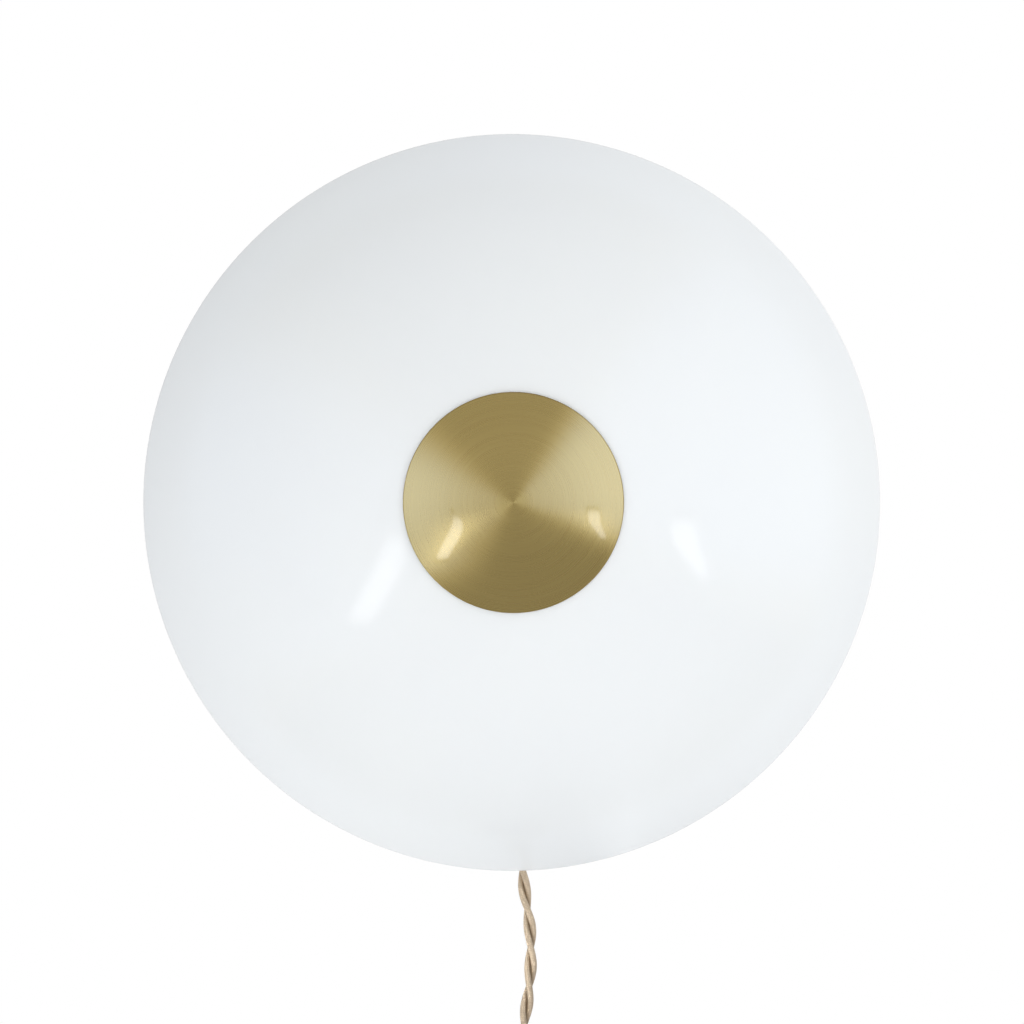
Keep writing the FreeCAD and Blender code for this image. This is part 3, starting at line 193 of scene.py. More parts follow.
# The hanging cord's own lamp and grey card
CORD_LAMP_AT = (-0.42, -0.42, -0.27)
CORD_LAMP_AIM = (0.008, -0.009, -0.218)
CORD_LAMP_SIZE = 0.05
CORD_LAMP_SPREAD = 8
CORD_LAMP_ENERGY = 0.0047
CARD_ACROSS = 0.054
CARD_DEPTHS = (-0.12, 0.06)
CARD_HEIGHTS = (-0.275, -0.199)
CARD_LEVEL = 0.26

# Floor
FLOOR_HEIGHT = -2.4
FLOOR_SIDE = 8
FLOOR_COLOUR = (0.85, 0.85, 0.85, 1)

# Lamp sheets: name, level, and rows of (elevation, azimuth, half width) in degrees. The steps
# soften the long edges, by distance from the middle, and the two ends.
SHEET_DISTANCE = 1.7
SHEET_COLUMNS = 8
SHEET_EDGE = (0.30, 0.5)
SHEET_NEAR_END = (0.0, 0.3)
SHEET_FAR_END = (0.85, 1.0)
LAMP_SHEETS = [
    ("left_sheet", 2.7, [
        (-3, -33, 0.6), (-7, -31, 1.8), (-10, -30, 3.4), (-14, -31, 4.8),
        (-18.5, -34, 5.4), (-23, -38, 5.4), (-27, -41.5, 5.2), (-30, -43.5, 4.4)]),
    ("right_sheet", 2.6, [
        (-2, 43, 3.2), (-4.5, 44, 4.6), (-9.5, 45, 4.6), (-12, 47, 3.9),
        (-15, 50, 3), (-18.5, 53, 1.8)]),
]

# Brushed rings stretch a reflection outward, a quarter turn from their own direction
BRUSH_TURN = 0.25
# The range that most of a noise's values lie in
NOISE_RANGE = (0.3, 0.7)


# Mesh helpers

def mesh_with_map(name, vertices, faces, unwrapped):
    """A mesh whose faces' corners have the given places on a flat map."""
    mesh = bpy.data.meshes.new(name)
    mesh.from_pydata(vertices, [], faces)
    corners = mesh.uv_layers.new(name="run").data
    places = [place for face_places in unwrapped for place in face_places]
    for corner, place in zip(corners, places):
        corner.uv = place
    mesh.update()
    return mesh


def add_piece(name, mesh, body, material, smooth_angle=35):
    """Link a mesh as a piece of the lamp that moves with a body."""
    piece = bpy.data.objects.new(name, mesh)
    bpy.context.scene.collection.objects.link(piece)
    mesh.materials.append(material)
    mesh.shade_smooth()
    mesh.set_sharp_from_angle(angle=math.radians(smooth_angle))
    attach(piece, body)
    return piece


def arc(centre, radius, start, end, count):
    """Points of an arc in (radius, depth), with angles in degrees from the axis outward."""
    points = []
    for step in range(count + 1):
        angle = math.radians(start + (end - start) * step / count)
        points.append((centre[0] + radius * math.sin(angle), centre[1] + radius * math.cos(angle)))
    return points


def lathe(name, profile):
    """A closed profile turned about the lamp's axis. A point on the axis is one vertex."""
    vertices, rings, faces = [], [], []
    for radius, depth in profile:
        if radius < ON_AXIS:
            rings.append([len(vertices)] * LATHE_SEGMENTS)
            vertices.append((0, -depth, 0))
            continue
        rings.append(list(range(len(vertices), len(vertices) + LATHE_SEGMENTS)))
        for step in range(LATHE_SEGMENTS):
            angle = 2 * math.pi * step / LATHE_SEGMENTS
            vertices.append((radius * math.cos(angle), -depth, radius * math.sin(angle)))
    for ring, following in zip(rings, rings[1:] + rings[:1]):
        for step in range(LATHE_SEGMENTS):
            after = (step + 1) % LATHE_SEGMENTS
            corners = [ring[step], ring[after], following[after], following[step]]
            corners = [corner for at, corner in enumerate(corners) if corner not in corners[:at]]
            if len(corners) > 2:
                faces.append(corners)
    mesh = bpy.data.meshes.new(name)
    mesh.from_pydata(vertices, [], faces)
    mesh.validate()
    mesh.update()
    return mesh


# Node trees

class Shader:
    """A material's or the world's node tree, with short ways to add nodes to it."""

    def __init__(self, tree):
        self.tree = tree

    def add(self, kind, inputs=None, **settings):
        """A node with its settings, and its inputs as values or links."""
        made = self.tree.nodes.new(kind)
        for name, value in settings.items():
            setattr(made, name, value)
        for name, value in (inputs or {}).items():
            if isinstance(value, bpy.types.NodeSocket):
                self.tree.links.new(value, made.inputs[name])
            else:
                made.inputs[name].default_value = value
        return made

    def calc(self, operation, first, second=0.0):
        return self.add("ShaderNodeMath", {0: first, 1: second}, operation=operation).outputs[0]

    def plus(self, first, *others):
        for other in others:
            first = self.calc("ADD", first, other)
        return first

    def times(self, first, *others):
        for other in others:
            first = self.calc("MULTIPLY", first, other)
        return first

    def rest(self, share):
        """What a share leaves of 1."""
        return self.calc("SUBTRACT", 1.0, share)

    def vector_calc(self, operation, first, second=(0, 0, 0)):
        return self.add("ShaderNodeVectorMath", {0: first, 1: second}, operation=operation).outputs

    def parts(self, vector):
        """A vector's three numbers."""
        return self.add("ShaderNodeSeparateXYZ", {"Vector": vector}).outputs

    def ramp(self, value, low, high, bottom=0.0, top=1.0, way="LINEAR"):
        """A value's range turned into another one, and held at its ends."""
        made = self.add("ShaderNodeMapRange", {
            "Value": value, "From Min": low, "From Max": high, "To Min": bottom, "To Max": top},
            interpolation_type=way)
        return made.outputs["Result"]

    def step(self, value, low, high, bottom=0.0, top=1.0):
        """A soft step of a value between two levels."""
        return self.ramp(value, low, high, bottom, top, "SMOOTHSTEP")

    def blend(self, share, first, second):
        made = self.add("ShaderNodeMix", {"Factor": share, "A": first, "B": second})
        return made.outputs["Result"]

    def blend_colours(self, share, first, second):
        made = self.add("ShaderNodeMix", {"Factor": share}, data_type="RGBA")
        for socket, value in ((made.inputs[6], first), (made.inputs[7], second)):
            if isinstance(value, bpy.types.NodeSocket):
                self.tree.links.new(value, socket)
            else:
                socket.default_value = (*value, 1)
        return made.outputs[2]

    def glow(self, strength):
        """Light of a given strength as the whole surface."""
        light = self.add("ShaderNodeEmission", {"Strength": strength})
        self.add("ShaderNodeOutputMaterial", {"Surface": light.outputs[0]})


class Finish(Shader):
    """A material of the lamp. Its fixed values sit on the shader itself, and links come on top."""

    def __init__(self, name, colour, roughness, metallic=0.0, **constants):
        self.material = bpy.data.materials.new(name)
        self.material.use_nodes = True
        super().__init__(self.material.node_tree)
        self.surface = self.tree.nodes["Principled BSDF"].inputs
        self.surface["Base Color"].default_value = (*colour, 1)
        self.surface["Roughness"].default_value = roughness
        self.surface["Metallic"].default_value = metallic
        for constant, value in constants.items():
            socket = constant.replace("_", " ").title().replace("Ior", "IOR")
            self.surface[socket].default_value = value

    def link(self, output, name):
        self.tree.links.new(output, self.surface[name])

    def bump(self, height, strength, distance):
        made = self.add("ShaderNodeBump", {
            "Height": height, "Strength": strength, "Distance": distance})
        self.link(made.outputs["Normal"], "Normal")

    def place(self):
        """Coordinates in the piece's own space, in metres."""
        return self.add("ShaderNodeTexCoord").outputs["Object"]

    def stretched(self, scale):
        return self.vector_calc("MULTIPLY", self.place(), scale)[0]

    def noise(self, scale, detail=3.0, roughness=0.55, place=None):
        """Noise over the piece's own space, or over other coordinates."""
        if place is None:
            place = self.place()
        made = self.add("ShaderNodeTexNoise", {
            "Vector": place, "Scale": scale, "Detail": detail, "Roughness": roughness})
        return made.outputs["Fac"]

    def vary(self, noise, low, high, name):
        """A shader value that runs between two by a noise."""
        self.link(self.ramp(noise, *NOISE_RANGE, low, high), name)

    def tint(self, noise, low, high):
        """A base colour that runs between two by a noise."""
        share = self.ramp(noise, *NOISE_RANGE)
        self.link(self.blend_colours(share, low, high), "Base Color")

    def ring_marks(self, rings, drift):
        """Noise that runs out from the lamp's axis and back along it, and drifts a little round
        each ring."""
        flat = self.stretched((1, 0, 1))
        depth = self.parts(self.place())[1]
        distance = self.plus(self.vector_calc("LENGTH", flat)["Value"], depth)
        way = self.parts(self.vector_calc("NORMALIZE", flat)[0])
        joined = self.add("ShaderNodeCombineXYZ", {
            "X": self.times(distance, rings), "Y": self.times(way[0], drift),
            "Z": self.times(way[2], drift)})
        return self.noise(1.0, 0, 0.5, joined.outputs[0])

    def braid(self, along_scale, across_scale):
        """Height of a braid's crossing threads over a strand's or strap's own map."""
        across, along, _ = self.parts(self.add("ShaderNodeTexCoord").outputs["UV"])
        across = self.times(across, across_scale)
        along = self.times(along, along_scale)
        first = self.calc("SINE", self.times(self.plus(across, along), 2 * math.pi))
        second = self.calc("SINE", self.times(self.calc("SUBTRACT", across, along), 2 * math.pi))
        return self.times(first, second)


# Camera and studio

def face(thing, at):
    """Turn a camera or a lamp to look at a point."""
    thing.rotation_mode = "QUATERNION"
    thing.rotation_quaternion = (Vector(at) - thing.location).to_track_quat("-Z", "Y")


def camera():
    data = bpy.data.cameras.new("camera")
    made = bpy.data.objects.new("camera", data)
    bpy.context.scene.collection.objects.link(made)
    made.location = (CAMERA_ACROSS, -CAMERA_DISTANCE, 0)
    face(made, (0, -RIM_PLANE, -AIM_DROP))
    data.sensor_width = SENSOR_WIDTH
    data.lens = SENSOR_WIDTH * (CAMERA_DISTANCE - RIM_PLANE) / FRAME_WIDTH
    data.clip_start, data.clip_end = CLIP_RANGE
    bpy.context.scene.camera = made


def round_lamp(name, at, aim, size, energy):
    """A round lamp that metal and glass don't mirror."""
    data = bpy.data.lights.new(name, "AREA")
    data.shape = "DISK"
    data.size = size
    data.energy = energy
    made = bpy.data.objects.new(name, data)
    bpy.context.scene.collection.objects.link(made)
    made.location = Vector(at)
    face(made, aim)
    made.visible_glossy = False
    return data


def lamps():
    """A large soft lamp in front, low and to the left, and a narrow one for the hanging cord."""
    round_lamp("front_lamp", Vector(FRONT_LAMP_WAY).normalized() * FRONT_LAMP_DISTANCE, (0, 0, 0),
               FRONT_LAMP_SIZE, FRONT_LAMP_SHARE * (math.pi * FRONT_LAMP_DISTANCE) ** 2)
    narrow = round_lamp("cord_lamp", CORD_LAMP_AT, CORD_LAMP_AIM, CORD_LAMP_SIZE, CORD_LAMP_ENERGY)
    narrow.spread = math.radians(CORD_LAMP_SPREAD)


def stage_sheet(name, mesh, hidden_from):
    """A sheet of the stage, with its own empty material, left out of some kinds of ray."""
    material = bpy.data.materials.new(name)
    material.use_nodes = True
    material.node_tree.nodes.clear()
    mesh.materials.append(material)
    sheet = bpy.data.objects.new(name, mesh)
    bpy.context.scene.collection.objects.link(sheet)
    for kind in hidden_from:
        setattr(sheet, f"visible_{kind}", False)
    return Shader(material.node_tree)


def flat_sheet(name, corners, hidden_from):
    mesh = bpy.data.meshes.new(name)
    mesh.from_pydata(corners, [], [(0, 1, 2, 3)])
    return stage_sheet(name, mesh, hidden_from)


def lamp_sheet(name, level, rows):
    """A bright sheet with soft edges, given by directions from the lamp, that the camera doesn't
    see. Glass and brass mirror it."""
    vertices, faces, unwrapped = [], [], []
    for elevation, azimuth, half in rows:
        for column in range(SHEET_COLUMNS + 1):
            turn = math.radians(azimuth + half * (2 * column / SHEET_COLUMNS - 1))
            rise = math.radians(elevation)
            way = Vector((math.sin(turn) * math.cos(rise), -math.cos(turn) * math.cos(rise),
                          math.sin(rise)))
            vertices.append(way * SHEET_DISTANCE)
    for row in range(len(rows) - 1):
        for column in range(SHEET_COLUMNS):
            corner = row * (SHEET_COLUMNS + 1) + column
            below = corner + SHEET_COLUMNS + 1
            faces.append((corner, corner + 1, below + 1, below))
            left, right = column / SHEET_COLUMNS, (column + 1) / SHEET_COLUMNS
            near, far = row / (len(rows) - 1), (row + 1) / (len(rows) - 1)
            unwrapped.append(((left, near), (right, near), (right, far), (left, far)))
    shader = stage_sheet(name, mesh_with_map(name, vertices, faces, unwrapped), ("camera",))
    across, along, _ = shader.parts(shader.add("ShaderNodeTexCoord").outputs["UV"])
    to_edge = shader.calc("ABSOLUTE", shader.calc("SUBTRACT", across, 0.5))
    shader.glow(shader.times(shader.step(to_edge, *SHEET_EDGE, 1.0, 0.0),
                             shader.step(along, *SHEET_NEAR_END),
                             shader.step(along, *SHEET_FAR_END, 1.0, 0.0), level))


def grey_card():
    """A grey card on the hanging cord's right that gives its strands a shaded side. The camera
    doesn't see it."""
    (near, far), (low, high) = CARD_DEPTHS, CARD_HEIGHTS
    corners = [(CARD_ACROSS, near, low), (CARD_ACROSS, far, low), (CARD_ACROSS, far, high),
               (CARD_ACROSS, near, high)]
    flat_sheet("grey_card", corners, ("camera", "glossy", "transmission")).glow(CARD_LEVEL)


def floor():
    """A pale floor far below the lamp, white to the camera, that adds no light of its own."""
    half = FLOOR_SIDE / 2
    corners = [(-half, -half, FLOOR_HEIGHT), (half, -half, FLOOR_HEIGHT),
               (half, half, FLOOR_HEIGHT), (-half, half, FLOOR_HEIGHT)]
    shader = flat_sheet("floor", corners, ("diffuse", "glossy", "transmission", "shadow"))
    pale = shader.add("ShaderNodeBsdfDiffuse", {"Color": FLOOR_COLOUR})
    white = shader.add("ShaderNodeEmission", {"Strength": 1.0})
    seen = shader.add("ShaderNodeLightPath").outputs["Is Camera Ray"]
    mixed = shader.add("ShaderNodeMixShader", {0: seen, 1: pale.outputs[0], 2: white.outputs[0]})
    shader.add("ShaderNodeOutputMaterial", {"Surface": mixed.outputs[0]})


def mirrored_front(shader, across, up):
    """The level that brass and glass see in front: a dim room with a soft bright panel on each
    side. A panel grows brighter away from the lamp's axis and ends at its horizon."""
    off_axis = shader.calc("SQRT", shader.plus(shader.times(across, across), shader.times(up, up)))
    panels = []
    for turn, level, full, none in SIDE_PANELS:
        turn = math.radians(turn)
        along = shader.plus(shader.times(across, math.cos(turn)), shader.times(up, math.sin(turn)))
        nearness = shader.calc("DIVIDE", along, shader.calc("MAXIMUM", off_axis, LEAST_OFF_AXIS))
        panels.append(shader.step(nearness, math.cos(math.radians(none)),
                                  math.cos(math.radians(full)), 0.0, level))
    growth = shader.plus(shader.step(off_axis, *NEAR_STEP, 0.0, NEAR_SHARE),
                         shader.step(off_axis, *FAR_STEP, 0.0, 1 - NEAR_SHARE))
    bright = shader.times(shader.plus(*panels), growth, shader.step(up, *PANEL_HORIZON))
    dim = shader.times(shader.step(up, *GROUND_STEP, GROUND_LEVEL, FRONT_LEVEL),
                       shader.step(up, *CEILING_STEP, 1.0, CEILING_SHARE),
                       shader.step(off_axis, *MIDDLE_STEP, MIDDLE_SHARE, 1.0))
    return shader.plus(dim, bright)


def soft_light(shader, look, across, up):
    """The level of the light on everything that doesn't mirror."""
    slope = shader.vector_calc("DOT_PRODUCT", look, AMBIENT_SLOPE)["Value"]
    right = shader.calc("MAXIMUM", across, 0.0)
    return shader.plus(slope, AMBIENT_LEVEL, shader.times(right, right, up, RIGHT_SLOPE))


def world():
    """White for the camera, the mirrored levels for brass and glass, and soft light elsewhere."""
    made = bpy.data.worlds.new("studio")
    bpy.context.scene.world = made
    made.use_nodes = True
    shader = Shader(made.node_tree)
    rays = shader.add("ShaderNodeLightPath").outputs
    look = shader.add("ShaderNodeTexCoord").outputs["Generated"]
    across, to_wall, up = shader.parts(look)

    front = mirrored_front(shader, across, up)
    behind = shader.step(to_wall, *BEHIND_STEP)
    mirrored = shader.blend(behind, front, BEHIND_LEVEL)
    mirrors = shader.calc("MAXIMUM", rays["Is Glossy Ray"], rays["Is Transmission Ray"])
    lit = shader.blend(mirrors, soft_light(shader, look, across, up), mirrored)
    level = shader.blend(rays["Is Camera Ray"], lit, 1.0)

    in_front = shader.times(mirrors, shader.rest(behind))
    warmth = shader.times(in_front, shader.rest(shader.step(front, *WARM_STEP)))
    colour = shader.blend_colours(in_front, (1, 1, 1), COOL_PANEL)
    colour = shader.blend_colours(warmth, colour, WARM_WALL)
    backdrop = made.node_tree.nodes["Background"].inputs
    made.node_tree.links.new(level, backdrop["Strength"])
    made.node_tree.links.new(colour, backdrop["Color"])


def studio():
    """The world, the lamps, and the sheets of the stage."""
    world()
    for name, level, rows in LAMP_SHEETS:
        lamp_sheet(name, level, rows)
    lamps()
    grey_card()
    floor()
    bpy.context.scene.view_settings.view_transform = "Standard"


# Materials

def cloth_cord():
    """Beige braid, with painted shade where the two strands face each other."""
    made = Finish("cloth_cord", (0.66, 0.53, 0.38), 0.5, specular_ior_level=0.3)
    weave = made.braid(620, 6)
    grain = made.noise(1900, 4, place=made.stretched((1, 1, 0.35)))
    spots = made.noise(260, 2)
    tone = made.plus(made.times(weave, 0.25), made.times(grain, 0.9))
    colour = made.blend_colours(made.ramp(tone, 0.1, 0.9), (0.50, 0.39, 0.27), (0.82, 0.68, 0.52))
    colour = made.blend_colours(made.ramp(spots, 0.35, 0.8, 0.0, 0.3), colour, (0.60, 0.47, 0.32))
    # Painted shade: the strands turn dark brown where they face each other, by the inward
    # attribute
    painted_groove_shade = made.add("ShaderNodeAttribute", attribute_name="inward").outputs["Fac"]
    colour = made.blend_colours(made.ramp(painted_groove_shade, 0.05, 0.95, 0.0, 0.8), colour,
                                (0.23, 0.145, 0.07))
    made.link(colour, "Base Color")
    made.bump(made.plus(weave, made.times(grain, 1.2)), 0.6, 0.00025)
    return made.material


def opal_glass():
    """Milky glass, lit from within its skin, with faint clouds and ripples."""
    made = Finish("opal_glass", (0.868, 0.900, 0.945), 0.10, ior=1.56, subsurface_weight=0.8,
                  subsurface_scale=0.005, subsurface_radius=(1.0, 1.0, 1.0))
    made.tint(made.noise(9, 4, 0.5), (0.861, 0.893, 0.945), (0.874, 0.907, 0.957))
    made.vary(made.noise(140), 0.09, 0.115, "Roughness")
    made.bump(made.noise(16, 2, 0.4), 0.05, 0.0015)
    return made.material


def brushed_brass(roughness=0.28):
    """Brass brushed in rings about the lamp's axis, under clear lacquer."""
    made = Finish("brushed_brass", (0.62, 0.50, 0.21), roughness, 1.0, anisotropic=0.78,
                  anisotropic_rotation=BRUSH_TURN, coat_weight=1.0, coat_roughness=0.08,
                  coat_ior=1.9)
    tangent = made.add("ShaderNodeTangent", direction_type="RADIAL", axis="Y")
    made.link(tangent.outputs["Tangent"], "Tangent")
    fine, coarse = made.ring_marks(3600, 0.8), made.ring_marks(700, 0.6)
    lines = made.plus(made.times(fine, 0.55), made.times(coarse, 0.45))
    made.tint(lines, (0.60, 0.48, 0.20), (0.64, 0.52, 0.22))
    made.vary(lines, roughness - 0.02, roughness + 0.025, "Roughness")
    made.bump(lines, 0.035, 0.0001)
    return made.material


def turned_metal(name, low, high, roughness):
    """Plain metal with fine turning marks and faint stains."""
    made = Finish(name, high, roughness, 1.0)
    marks = made.noise(1400, place=made.stretched((1, 5, 5)))
    made.tint(made.noise(60), low, high)
    made.vary(marks, roughness - 0.06, roughness + 0.08, "Roughness")
    made.bump(marks, 0.15, 0.00008)
    return made.material


def moulded(name, low, high, roughness, grain=900, **constants):
    """Plastic, rubber or glazed ware with a fine grain and a slow change of tone."""
    made = Finish(name, high, roughness, **constants)
    fine = made.noise(grain)
    made.tint(made.noise(35), low, high)
    made.vary(fine, roughness - 0.04, roughness + 0.06, "Roughness")
    made.bump(fine, 0.2, 0.00005)
    return made.material


def tie_strap():
    """Black woven strap."""
    made = Finish("tie_strap", (0.03, 0.03, 0.032), 0.85, sheen_weight=0.3)
    tone = made.plus(made.times(made.braid(900, 8), 0.3), made.noise(2500))
    made.link(made.blend_colours(made.ramp(tone, 0.2, 0.9), (0.012, 0.012, 0.013),
                                 (0.06, 0.06, 0.064)), "Base Color")
    made.bump(tone, 0.5, 0.0002)
    return made.material


def finishes():
    """A material for each of the record's slots."""
    made = {
        "brushed_brass": brushed_brass(),
        "opal_glass": opal_glass(),
        "cloth_cord": cloth_cord(),
        "tie_strap": tie_strap(),
    }
    for name, low, high, roughness in [
            ("turned_brass", (0.53, 0.41, 0.17), (0.62, 0.49, 0.22), 0.28),
            ("zinc_steel", (0.58, 0.59, 0.60), (0.64, 0.65, 0.66), 0.34),
            ("nickel_shell", (0.62, 0.61, 0.58), (0.74, 0.73, 0.70), 0.18)]:
        made[name] = turned_metal(name, low, high, roughness)
    for name, low, high, roughness, more in [
            ("gasket_rubber", (0.010, 0.010, 0.010), (0.020, 0.020, 0.020), 0.75, {}),
            ("porcelain", (0.80, 0.785, 0.74), (0.85, 0.835, 0.79), 0.12,
             {"grain": 90, "coat_weight": 0.6, "coat_roughness": 0.04}),
            ("bulb_glass", (0.84, 0.84, 0.81), (0.89, 0.89, 0.86), 0.42, {"grain": 1500}),
            ("lead_insulation", (0.68, 0.66, 0.61), (0.74, 0.72, 0.67), 0.42, {}),
            ("bushing_nylon", (0.012, 0.012, 0.012), (0.022, 0.022, 0.022), 0.5, {}),
            ("ivory_plastic", (0.735, 0.70, 0.59), (0.785, 0.75, 0.64), 0.32, {"grain": 700})]:
        made[name] = moulded(name, low, high, roughness, **more)
    return made


def dress_nodes():
    """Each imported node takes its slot's procedural material."""
    slots = {part["node"]: part["material_slot"] for part in frame["record"]["subparts"]}
    for name, node in nodes.items():
        for place in node.material_slots:
            place.material = FINISHES[slots[name]]


# Cords

def spline_points(name, points, resolution):
    """Points of the smooth line that a route's control points give."""
    data = bpy.data.curves.new(name, "CURVE")
    data.dimensions = "3D"
    spline = data.splines.new("NURBS")
    spline.points.add(len(points) - 1)
    for place, point in zip(spline.points, points):
        place.co = (*point, 1)
    spline.order_u = 3
    spline.use_endpoint_u = True
    data.resolution_u = resolution
    route = bpy.data.objects.new(name, data)
    bpy.context.scene.collection.objects.link(route)
    bpy.context.view_layer.update()
    line = bpy.data.meshes.new_from_object(route)
    found = [vertex.co.copy() for vertex in line.vertices]
    bpy.data.objects.remove(route)
    bpy.data.curves.remove(data)
    bpy.data.meshes.remove(line)
    return found


def framed(line):
    """Each point of a line with its heading, one sideways direction carried along without twist,
    and the run so far."""
    last = len(line) - 1
    headings = [(line[min(at + 1, last)] - line[max(at - 1, 0)]).normalized()
                for at in range(len(line))]
    side = Vector((1, 0, 0))
    side = (side - headings[0] * side.dot(headings[0])).normalized()
    rows = []
    run = 0.0
    for at, heading in enumerate(headings):
        if at:
            side = headings[at - 1].rotation_difference(heading) @ side
            side = (side - heading * side.dot(heading)).normalized()
            run += (line[at] - line[at - 1]).length
        rows.append((line[at], heading, side, run))
    return rows


class StrandSkin:
    """The skin of a cord's strands. inward is 1 where a strand faces the cord's own line, and
    marks where the cloth's shade is painted.
    """

    def __init__(self):
        self.vertices, self.faces, self.unwrapped, self.inward = [], [], [], []

    def add_strand(self, rows, offset=0.0, phase=0.0):
        """Rings about a line that winds round the cord's line at an offset."""
        centres = []
        for point, heading, side, run in rows:
            angle = phase + math.pi * run / HALF_TWIST
            front = heading.cross(side).normalized()
            centres.append(point + (side * math.sin(angle) + front * math.cos(angle)) * offset)
        strand = framed(centres)
        start = len(self.vertices)
        for (point, heading, side, _), row in zip(strand, rows):
            lift = heading.cross(side)
            inner = (row[0] - point).normalized()
            for step in range(STRAND_SIDES):
                angle = 2 * math.pi * step / STRAND_SIDES
                outward = side * math.cos(angle) + lift * math.sin(angle)
                self.vertices.append(point + outward * STRAND_RADIUS)
                self.inward.append(outward.dot(inner))
        self.add_sides(start, [row[3] for row in strand])
        self.add_ends(start, [row[3] for row in strand])

    def add_sides(self, start, runs):
        for ring, (here, there) in enumerate(zip(runs, runs[1:])):
            low = start + ring * STRAND_SIDES
            high = low + STRAND_SIDES
            for step in range(STRAND_SIDES):
                after = (step + 1) % STRAND_SIDES
                self.faces.append((low + step, low + after, high + after, high + step))
                across, across_after = step / STRAND_SIDES, (step + 1) / STRAND_SIDES
                self.unwrapped.append(((across, here), (across_after, here),
                                       (across_after, there), (across, there)))

    def add_ends(self, start, runs):
        for ring, turn in ((0, -1), (len(runs) - 1, 1)):
            loop = [start + ring * STRAND_SIDES + step for step in range(STRAND_SIDES)]
            self.faces.append(tuple(loop[::turn]))
            self.unwrapped.append([(step / STRAND_SIDES, runs[ring])
                                   for step in range(STRAND_SIDES)])

    def piece(self, name):
        """The strands as one piece of cloth-covered cord."""
        mesh = mesh_with_map(name, self.vertices, self.faces, self.unwrapped)
        mesh.attributes.new("inward", "FLOAT", "POINT").data.foreach_set("value", self.inward)
        made = add_piece(name, mesh, "root", FINISHES["cloth_cord"], smooth_angle=60)
        return made


def twisted_pair(name, points, resolution, crossing_height=None):
    """Both strands as one piece, and the line that they follow. They cross, seen from the front,
    at the given height, or else at the line's start."""
    line = spline_points(name, points, resolution)
    rows = framed(line)
    crossing = 0.0
    if crossing_height is not None:
        crossing = min(rows, key=lambda row: abs(row[0].z - crossing_height))[3]
    skin = StrandSkin()
    for start in (0, math.pi):
        skin.add_strand(rows, STRAND_OFFSET, start - math.pi * crossing / HALF_TWIST)
    return skin.piece(name), line


def coil_route():
    """The coil's start heading, its turns in layers that wind inward and outward in turn, and its
    end heading."""
    start, end = math.radians(START_AZIMUTH), math.radians(END_AZIMUTH)
    turns = COIL_LAYERS * TURNS_PER_LAYER + ((END_AZIMUTH - START_AZIMUTH) / 360) % 1
    start_heading = Vector((-math.sin(start), 0, math.cos(start)))
    end_heading = Vector((-math.sin(end), 0, math.cos(end)))
    inner_radius = COIL_OUTER_RADIUS - COIL_PITCH * TURNS_PER_LAYER

    def coil_point(turn):
        layer = min(int(turn / TURNS_PER_LAYER), COIL_LAYERS - 1)
        along = turn - layer * TURNS_PER_LAYER
        if layer % 2 == 0:
            radius = COIL_OUTER_RADIUS - COIL_PITCH * along
        else:
            radius = inner_radius + COIL_PITCH * along
        climbed = 0.0
        for step in range(1, COIL_LAYERS):
            share = min(max((turn - step * TURNS_PER_LAYER) / CLIMB_TURNS + 0.5, 0), 1)
            climbed += share * share * (3 - 2 * share)
        azimuth = start + 2 * math.pi * turn
        depth = COIL_REAR_DEPTH + COIL_PITCH * climbed
        return COIL_CENTRE + Vector((radius * math.cos(azimuth), -depth,
                                     radius * math.sin(azimuth)))

    count = round(turns * POINTS_PER_TURN)
    coil = [coil_point(turns * step / count) for step in range(count + 1)]
    return start_heading, coil, end_heading


def free_cord():
    """The cord from the grip to the switch, and from the switch over the coil to the plug."""
    upper, upper_line = twisted_pair("cord_pair_upper", [CORD_START, *CORD_UPPER],
                                     UPPER_RESOLUTION, CROSSING_HEIGHT)
    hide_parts("cord_upper")

    start_heading, coil, end_heading = coil_route()
    switch_end = SWITCH_TOP - Vector((0, 0, SWITCH_LENGTH))
    coil_start = coil[0] - start_heading * COIL_END_RUN
    coil_end = coil[-1] + end_heading * COIL_END_RUN
    points = [switch_end, *CORD_LOWER, coil_start - start_heading * COIL_LEAD_IN, coil_start,
              *coil, coil_end, coil_end + end_heading * TAIL_LENGTH / 2,
              coil_end + end_heading * TAIL_LENGTH]
    lower, lower_line = twisted_pair("cord_pair_lower", points, LOWER_RESOLUTION)
    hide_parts("cord_lower", "cord_coil", "cord_tail")
    with_pieces = [nodes[name] for name in nodes if name.startswith("plug_")] + [coil_strap()]


def inner_strands():
    """The cord's two strands from the grip's tip to the terminal block, side by side."""
    for name, side in (("live", -1), ("neutral", 1)):
        route = [Vector((side * across, -depth, -drop)) * MM
                 for across, depth, drop in INNER_ROUTE]
        skin = StrandSkin()
        skin.add_strand(framed(spline_points(name, route, INNER_RESOLUTION)))
        strand = skin.piece(f"strand_{name}")
        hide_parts(f"cord_end_{name}")


# Strap

def rounded_loop(half_depth, half_height):
    """Points and outward directions of a rounded box about the coil's bundle, in (depth,
    height)."""
    rows = []
    for quarter, (depth_sign, height_sign) in enumerate(((1, 1), (-1, 1), (-1, -1), (1, -1))):
        for step in range(STRAP_CORNER_STEPS + 1):
            angle = math.radians(90 * (quarter + step / STRAP_CORNER_STEPS))
            way = (math.cos(angle), math.sin(angle))
            depth = depth_sign * (half_depth - STRAP_CORNER) + way[0] * STRAP_CORNER
            height = height_sign * (half_height - STRAP_CORNER) + way[1] * STRAP_CORNER
            rows.append(((depth, height), way))
    return rows


